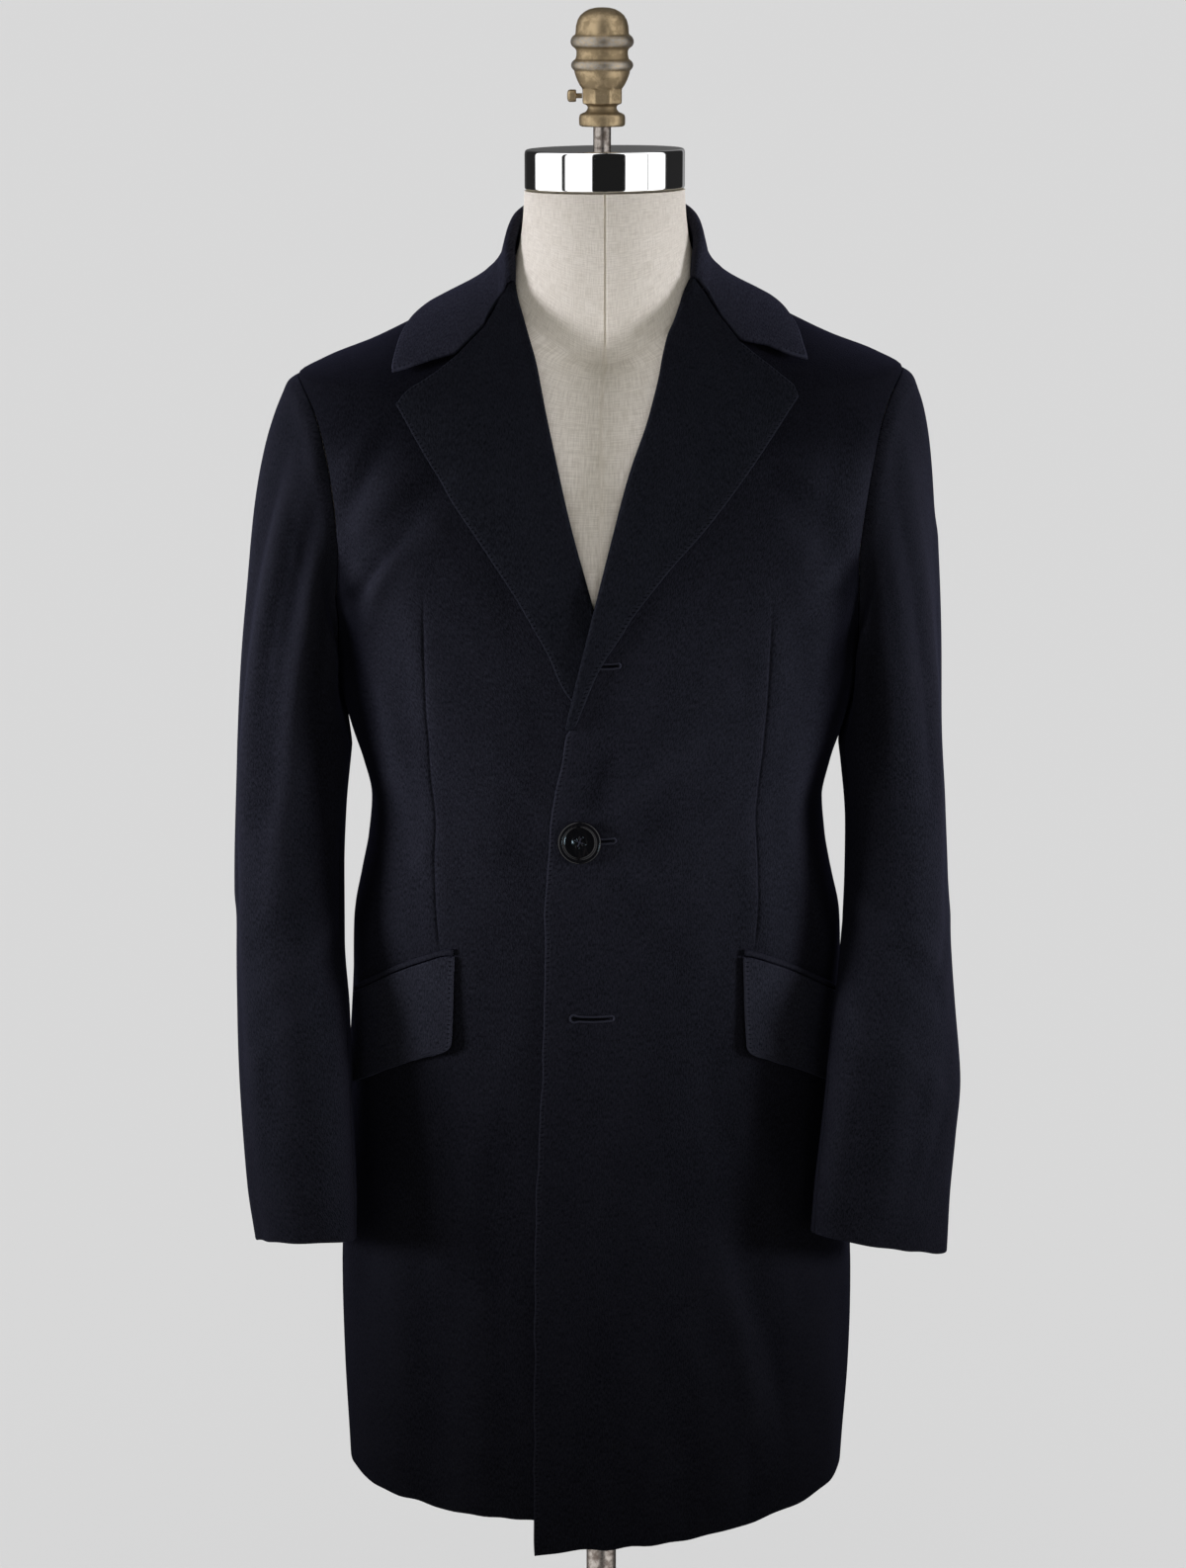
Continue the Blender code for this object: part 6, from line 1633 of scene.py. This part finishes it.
def light_world():
    """An even sky that fills the shadows; the camera sees the backdrop and shiny pieces tall pale panels."""
    world = bpy.data.worlds.new("studio")
    bpy.context.scene.world = world
    world.use_nodes = True
    world.node_tree.nodes.clear()
    net = Net(world.node_tree)
    way = net.add("ShaderNodeSeparateXYZ", {0: net.place("Generated")})
    # 0.5 towards the front of the stage, growing towards +X
    turn = net.math("ARCTAN2", way.outputs["X"], net.math("MULTIPLY", way.outputs["Y"], -1.0))
    turn = net.math("ADD", net.math("DIVIDE", turn, 2 * math.pi), 0.5)
    panels = net.add("ShaderNodeValToRGB", {0: turn})
    stops = panels.color_ramp.elements
    while len(stops) < len(PANELS):
        stops.new(0.5)
    for stop, (degrees, value) in zip(stops, PANELS):
        stop.position, stop.color = (degrees + 180) / 360, (value, value, value, 1)
    ray = net.add("ShaderNodeLightPath")
    seen = net.mix(ray.outputs["Is Camera Ray"], (0.200, 0.200, 0.202), (BACKDROP,) * 3)
    light = net.mix(ray.outputs["Is Glossy Ray"], seen, panels.outputs[0])
    shade = net.add("ShaderNodeBackground", {"Color": light, "Strength": 1.0})
    net.add("ShaderNodeOutputWorld", {"Surface": shade.outputs[0]})


def collect(name, pieces):
    """A collection of these pieces, for lamps to light."""
    made = bpy.data.collections.new(name)
    for piece in pieces:
        made.objects.link(piece)
    return made


def add_lamp(name, kind, power, lit, color=(1, 1, 1), place=(0, 0, 0), turned=(0, 0, 0), hidden=(), **shape):
    """A lamp that lights only one collection; hidden names the rays that pass it, and shape is its size."""
    lamp = bpy.data.lights.new(name, kind)
    lamp.energy, lamp.color = power, color
    for key, value in shape.items():
        setattr(lamp, key, value)
    holder = bpy.data.objects.new(name, lamp)
    holder.location, holder.rotation_euler = place, turned
    for ray in hidden:
        setattr(holder, "visible_" + ray, False)
    holder.light_linking.receiver_collection = lit
    bpy.context.scene.collection.objects.link(holder)
    return holder


def build_stage():
    """A wide pale floor under an even sky, with soft lamps, and the camera."""
    pieces = [piece for piece in bpy.data.objects if piece.type == "MESH"]
    shown = collect("shown_part", pieces)
    linen = collect("linen", [piece for piece in pieces if piece.active_material == LINEN])
    horn = collect("horn", [bpy.data.objects["button_horn"]])
    corners = np.array([(-1, -1, 0), (1, -1, 0), (1, 1, 0), (-1, 1, 0)], float) * FLOOR_HALF
    floor = add_mesh("pale_floor", corners, np.array([[0, 1, 2, 3]]), [GROUND])
    floor.visible_glossy = floor.visible_diffuse = False
    ground = collect("ground", [floor])
    light_world()

    rays, far = ("camera", "glossy"), SOFTBOX_FAR
    for name, (azimuth, height, aim, wide, power) in SOFTBOXES.items():
        turn, fall = math.radians(azimuth), math.atan2(height - aim, far)
        place, turned = (far * math.sin(turn), -far * math.cos(turn), height), (math.pi / 2 - fall, 0, turn)
        add_lamp(name, "SPOT", power, shown, SOFTBOX_COLOR, place, turned, rays,
                 shadow_soft_size=SOFTBOX_RADIUS, spot_size=math.radians(wide), spot_blend=1.0)
    # A soft front light for the linen form alone, and a small blue glint for the button alone.
    add_lamp("form_light", "SPOT", 35, linen, (0.97, 0.97, 1.08), (0, -far, 1.3), (math.radians(90), 0, 0),
             rays, shadow_soft_size=0.40, spot_size=math.radians(28), spot_blend=1.0)
    add_lamp("glint", "POINT", 11, horn, (0.62, 0.85, 1.0), (0.30, -1.75, 0.74),
             hidden=("camera",), shadow_soft_size=0.095)
    sun = add_lamp("ground_light", "SUN", 2.98, ground, hidden=("glossy",), angle=math.radians(110))
    sun.light_linking.blocker_collection = ground

    camera = bpy.data.cameras.new("camera")
    camera.lens, camera.sensor_width, camera.sensor_fit = 76.47, 36.0, "AUTO"
    eye = bpy.data.objects.new("camera", camera)
    eye.location = (-0.007, -2.6, 1.725)
    eye.rotation_euler = (math.radians(90 - 13.57), 0, 0)
    bpy.context.scene.collection.objects.link(eye)
    bpy.context.scene.camera = eye
    bpy.context.scene.view_settings.view_transform = "Standard"
    bpy.context.scene.view_settings.look = "None"


build_coat()
add_button()
for hole in BUTTONHOLES:
    add_buttonhole(*hole)
add_torso()
add_neck_cap()
add_finial()
add_screw()
add_stand()
build_stage()
